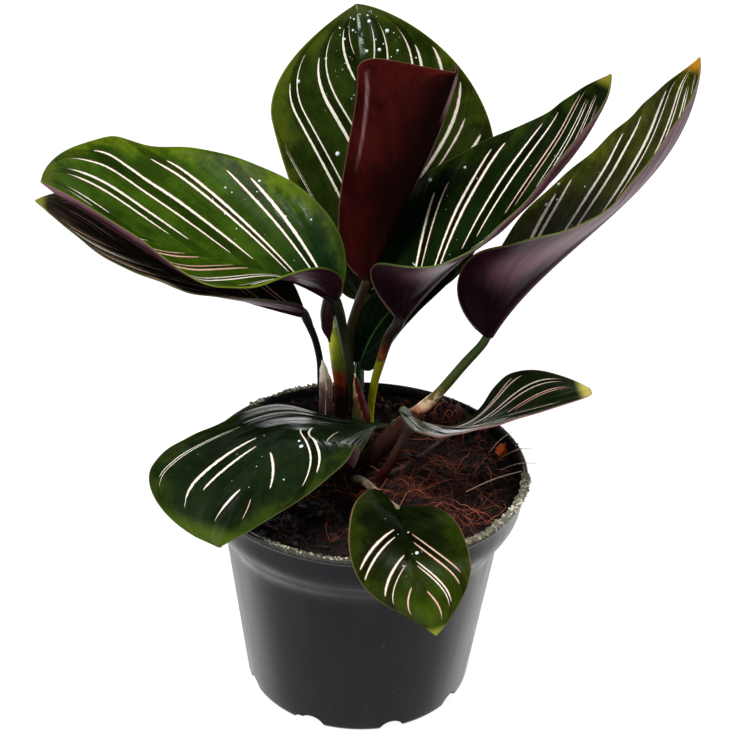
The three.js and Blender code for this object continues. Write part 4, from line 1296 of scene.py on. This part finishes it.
# ---------------- dew
DEW_PLACES = {  # blade: share of the fine drops, and where they gather along and across it
    "back": (0.5, (0.72, 0.98), (-0.5, 0.6)),
    "left_upper": (0.16, (0.12, 0.5), (0.2, 0.9)),
    "right_upper": (0.14, (0.05, 0.7), (-0.9, -0.1)),
    "right_far": (0.06, (0.2, 0.8), (-0.9, -0.1)),
    "front": (0.06, (0.2, 0.8), (-0.7, 0.7)),
    "drooping": (0.08, (0.3, 0.9), (-0.6, 0.8)),
}
LARGE_DROPS = {  # blade: place along and across it, and size
    "back": (
        (0.95, 0.25, 0.9), (0.92, 0.48, 1.0), (0.87, 0.23, 0.9), (0.87, 0.06, 0.8), (0.91, -0.27, 0.6),
        (0.93, -0.15, 0.6), (0.86, 0.45, 0.6), (0.82, -0.75, 0.9), (0.58, -0.38, 1.2),
    ),
    "right_upper": ((0.29, -0.93, 1.1), (0.38, -0.82, 0.8)),
    "front": ((0.52, -0.15, 0.9),),
    "drooping": ((0.64, -0.38, 1.1), (0.6, -0.3, 0.7)),
    "right_far": ((0.33, -0.82, 0.9), (0.38, -0.95, 0.8)),
    "left_upper": ((0.35, 0.86, 0.7),),
}


def dome(centre, normal, radius, squash=0.6, rings=4, steps=10):
    """A drop that stands on a surface."""
    side = unit(np.cross(normal, (0.3, 0.7, 0.2)))
    other = np.cross(normal, side)
    points = [centre + normal * radius * squash]
    for lean in (math.pi * 0.62 * i / rings for i in range(1, rings + 1)):
        for a in (FULL_TURN * k / steps for k in range(steps)):
            flat = radius * math.sin(lean) * (math.cos(a) * side + math.sin(a) * other)
            points.append(centre + flat + normal * radius * squash * math.cos(lean))
    faces = fan_faces(0, 1, steps) + grid_faces(rings - 1, steps, 1, closed=True, flipped=True)
    last = 1 + (rings - 1) * steps
    return points, [*faces, tuple(range(last + steps - 1, last - 1, -1))]


def make_dew(fine, largest, wave):
    draw = random.Random(SEEDS["dew"])
    places = {name: list(LARGE_DROPS.get(name, ())) for name in BLADES}
    for name, (share, reach, breadth) in DEW_PLACES.items():
        for _ in range(round(fine * share)):
            spot = (draw.uniform(*reach), draw.uniform(*breadth))
            places[name].append((*spot, 0.15 + 0.4 * draw.random() ** 2))
    bits = Bits()
    for name, drops in places.items():
        face, normals, values, _ = blade_sheet(name, wave)
        for along, across, size in drops:
            row = int(np.argmin(np.abs(values["along"][:, 0] - along)))
            column = round((across + 1) / 2 * BLADE_COLUMNS)
            bits.add(*dome(face[row, column], normals[row, column], largest * size))
    return mesh_object("water_drops", bits.points, bits.faces)


def dew_finish():
    finish = Finish("water")
    return finish.done(
        # Painted glint: the clear drops are coloured near white, so they read as bright points.
        Base_Color=finish.blend(finish.noise(600.0, 1.0), (0.9, 0.96, 0.96), (1.0, 1.0, 1.0)),
        Roughness=0.05,
        IOR=1.33,
        Transmission_Weight=0.1,
        Specular_IOR_Level=0.8,
    )


# ---------------- operators
CAMERA_ELEVATION, CAMERA_ROLL = math.radians(30.2), math.radians(-1.9)
CAMERA_DISTANCE, CAMERA_LENS = 0.7, 96.7
CAMERA_TARGET = Vector((0.0003, 0.0, 0.131))
FLOOR_REACH = 6000.0
LIGHTS = (  # setting, place, what it lights, size and colour
    ("key", (-0.2, -0.45, 1.25), (0, 0, 0.15), (0.45, 0.45), (1.0, 1.0, 1.0)),
    ("window", (-0.74, -0.83, 0.62), (0, 0, 0.17), (0.22, 0.3), (0.82, 0.93, 1.0)),
    ("back", (0.0, 1.2, 0.28), (0, 0, 0.2), (1.6, 0.5), (1.0, 1.0, 1.0)),
    ("side", (0.95, 0.62, 0.4), (0, 0, 0.14), (0.45, 0.5), (1.0, 0.95, 0.97)),
)


class CalatheaAddCamera(bpy.types.Operator):
    """Puts the camera where the plant was seen from, a little above it and in front."""

    bl_idname = "calathea.add_camera"
    bl_label = "Camera"

    def execute(self, context):
        back = Vector((0.0, -math.cos(CAMERA_ELEVATION), math.sin(CAMERA_ELEVATION)))
        level = Vector((1, 0, 0))
        upward = Vector((0, math.sin(CAMERA_ELEVATION), math.cos(CAMERA_ELEVATION)))
        right = level * math.cos(CAMERA_ROLL) - upward * math.sin(CAMERA_ROLL)
        top = level * math.sin(CAMERA_ROLL) + upward * math.cos(CAMERA_ROLL)
        data = bpy.data.cameras.new("camera")
        data.lens, data.sensor_width = CAMERA_LENS, 36.0
        camera = bpy.data.objects.new("camera", data)
        turn = Matrix((right, top, back)).transposed().to_4x4()
        camera.matrix_world = Matrix.Translation(CAMERA_TARGET + back * CAMERA_DISTANCE) @ turn
        context.scene.collection.objects.link(camera)
        context.scene.camera = camera
        return {"FINISHED"}


class CalatheaAddPot(bpy.types.Operator):
    """Adds the nursery pot with its collar and drainage notches."""

    bl_idname = "calathea.add_pot"
    bl_label = "Pot"

    def execute(self, context):
        pot = context.scene.calathea_pot
        points, faces = revolve(pot_profile(pot.rim_radius / MM, pot.height / MM), pot.segments)
        piece = mesh_object("nursery_pot", points, faces)
        cut_notches(piece)
        if len(piece.data.polygons) < len(faces) / 2:
            raise RuntimeError("the drainage notches took the pot apart")
        piece.data.set_sharp_from_angle(angle=SHARP_ANGLE)
        give(piece, "pot_plastic", pot_finish(pot), nodes=("pot",))
        return {"FINISHED"}


class CalatheaAddSoil(bpy.types.Operator):
    """Adds the potting soil with its bark, coir fibres and dry stalk, and the crust on the rim."""

    bl_idname = "calathea.add_soil"
    bl_label = "Soil"

    def execute(self, context):
        soil = context.scene.calathea_soil
        give(make_soil(), "potting_soil", soil_finish(soil), nodes=("soil",))
        bark = crumb_finish("bark", (14, 8, 6), (92, 50, 34), (206, 92, 30), 0.8)
        give(make_chips(soil.chips), "potting_soil", bark)
        coir = crumb_finish("coir", (36, 14, 10), (196, 104, 74), (224, 196, 160), 0.7)
        give(make_fibres(soil.fibres), "potting_soil", coir)
        crust = crumb_finish("crust", (110, 104, 84), (240, 236, 214), (240, 236, 214), 0.85)
        give(make_crust(), "potting_soil", crust)
        stalk = make_rod("dry_stalk", [(x, y, soil_height(x, y) + 0.9, 0.95) for x, y in DRY_STALK], 14, 1.0)
        give(stalk, "potting_soil", stem_finish("dry_stalk", STEM_LOOKS["dry_stalk"]))
        return {"FINISHED"}


class CalatheaAddBlades(bpy.types.Operator):
    """Adds the ten pin-striped leaf blades."""

    bl_idname = "calathea.add_blades"
    bl_label = "Leaf blades"

    def execute(self, context):
        leaves = context.scene.calathea_leaves
        purple, burgundy = underside_finish(leaves), burgundy_finish()
        for name in BLADES:
            piece = make_blade(name, leaves.thickness / MM, leaves.wave / MM)
            under = burgundy if name == "folded" else purple
            give(piece, "leaf_blade", face_finish(name, leaves), under, nodes=(f"leaf_{name}",))
        return {"FINISHED"}


class CalatheaAddPetioles(bpy.types.Operator):
    """Adds a petiole under each blade, down into the soil, and a rolled young leaf among them."""

    bl_idname = "calathea.add_petioles"
    bl_label = "Petioles"

    def execute(self, context):
        stems = context.scene.calathea_stems
        for name in PETIOLES:
            add_stem("stalk", "petiole", name, petiole_points(name), stems)
        bud = make_rod("rolled_leaf", ROLLED_LEAF, stems.sides, stems.ring_step / MM)
        give(bud, "leaf_blade", stem_finish("rolled_leaf", STEM_LOOKS["rolled_leaf"]))
        return {"FINISHED"}


class CalatheaAddSheaths(bpy.types.Operator):
    """Adds the three pointed sheaths that carry no blade."""

    bl_idname = "calathea.add_sheaths"
    bl_label = "Sheaths"

    def execute(self, context):
        for name, points in SHEATHS.items():
            add_stem("spathe", "sheath", name, points, context.scene.calathea_stems)
        return {"FINISHED"}


class CalatheaAddDew(bpy.types.Operator):
    """Scatters drops of water on the blades."""

    bl_idname = "calathea.add_dew"
    bl_label = "Water drops"

    def execute(self, context):
        dew = context.scene.calathea_dew
        piece = make_dew(dew.count, dew.radius / MM, context.scene.calathea_leaves.wave / MM)
        give(piece, "leaf_blade", dew_finish())
        return {"FINISHED"}


def add_floor(stage):
    corners = [(x * FLOOR_REACH, y * FLOOR_REACH, -0.1) for x, y in ((-1, -1), (1, -1), (1, 1), (-1, 1))]
    floor = mesh_object("floor", corners, [(0, 1, 2, 3)])
    finish = Finish("floor")
    paper = finish.done(
        Base_Color=finish.blend(finish.noise(6.0, 2.0), stage.floor[:], linear(128, 128, 128)),
        Roughness=0.9,
        Specular_IOR_Level=0.1,
        Emission_Color=(1.0, 1.0, 1.0),
        Emission_Strength=stage.glow,
    )
    floor.data.materials.append(paper)


class CalatheaAddStage(bpy.types.Operator):
    """Adds the plain pale floor and the soft studio lights."""

    bl_idname = "calathea.add_stage"
    bl_label = "Stage"

    def execute(self, context):
        stage = context.scene.calathea_stage
        if stage.show_floor:
            add_floor(stage)
        for name, place, target, size, tint in LIGHTS:
            data = bpy.data.lights.new(name, "AREA")
            data.shape, data.energy, data.color = "RECTANGLE", getattr(stage, name), tint
            data.size, data.size_y = size
            light = bpy.data.objects.new(name, data)
            light.location = place
            light.rotation_euler = (Vector(target) - Vector(place)).to_track_quat("-Z", "Y").to_euler()
            context.scene.collection.objects.link(light)
        world = bpy.data.worlds.new("studio")
        world.use_nodes = True
        sky = world.node_tree.nodes["Background"].inputs
        sky["Color"].default_value = (1.0, 1.0, 1.0, 1.0)
        sky["Strength"].default_value = stage.sky
        context.scene.world = world
        context.scene.view_settings.view_transform = "Standard"
        return {"FINISHED"}


class CalatheaPanel(bpy.types.Panel):
    """Lists the steps that build the plant."""

    bl_idname = "VIEW3D_PT_calathea"
    bl_label = "Potted calathea"
    bl_space_type = "VIEW_3D"
    bl_region_type = "UI"
    bl_category = "Calathea"

    def draw(self, context):
        for operator in OPERATORS:
            self.layout.operator(operator.bl_idname)


GROUPS = {
    "calathea_pot": CalatheaPot,
    "calathea_soil": CalatheaSoil,
    "calathea_leaves": CalatheaLeaves,
    "calathea_stems": CalatheaStems,
    "calathea_dew": CalatheaDew,
    "calathea_stage": CalatheaStage,
}
OPERATORS = (
    CalatheaAddCamera,
    CalatheaAddPot,
    CalatheaAddSoil,
    CalatheaAddBlades,
    CalatheaAddPetioles,
    CalatheaAddSheaths,
    CalatheaAddDew,
    CalatheaAddStage,
)


def register():
    for cls in (*GROUPS.values(), *OPERATORS, CalatheaPanel):
        bpy.utils.register_class(cls)
    for name, group in GROUPS.items():
        setattr(bpy.types.Scene, name, PointerProperty(type=group))


def unregister():
    for name in GROUPS:
        delattr(bpy.types.Scene, name)
    for cls in (CalatheaPanel, *reversed(OPERATORS), *reversed(GROUPS.values())):
        bpy.utils.unregister_class(cls)


def main():
    register()
    bpy.ops.calathea.add_camera()
    bpy.ops.calathea.add_pot()
    bpy.ops.calathea.add_soil()
    bpy.ops.calathea.add_blades()
    bpy.ops.calathea.add_petioles()
    bpy.ops.calathea.add_sheaths()
    bpy.ops.calathea.add_dew()
    bpy.ops.calathea.add_stage()


if __name__ == "__main__":
    main()
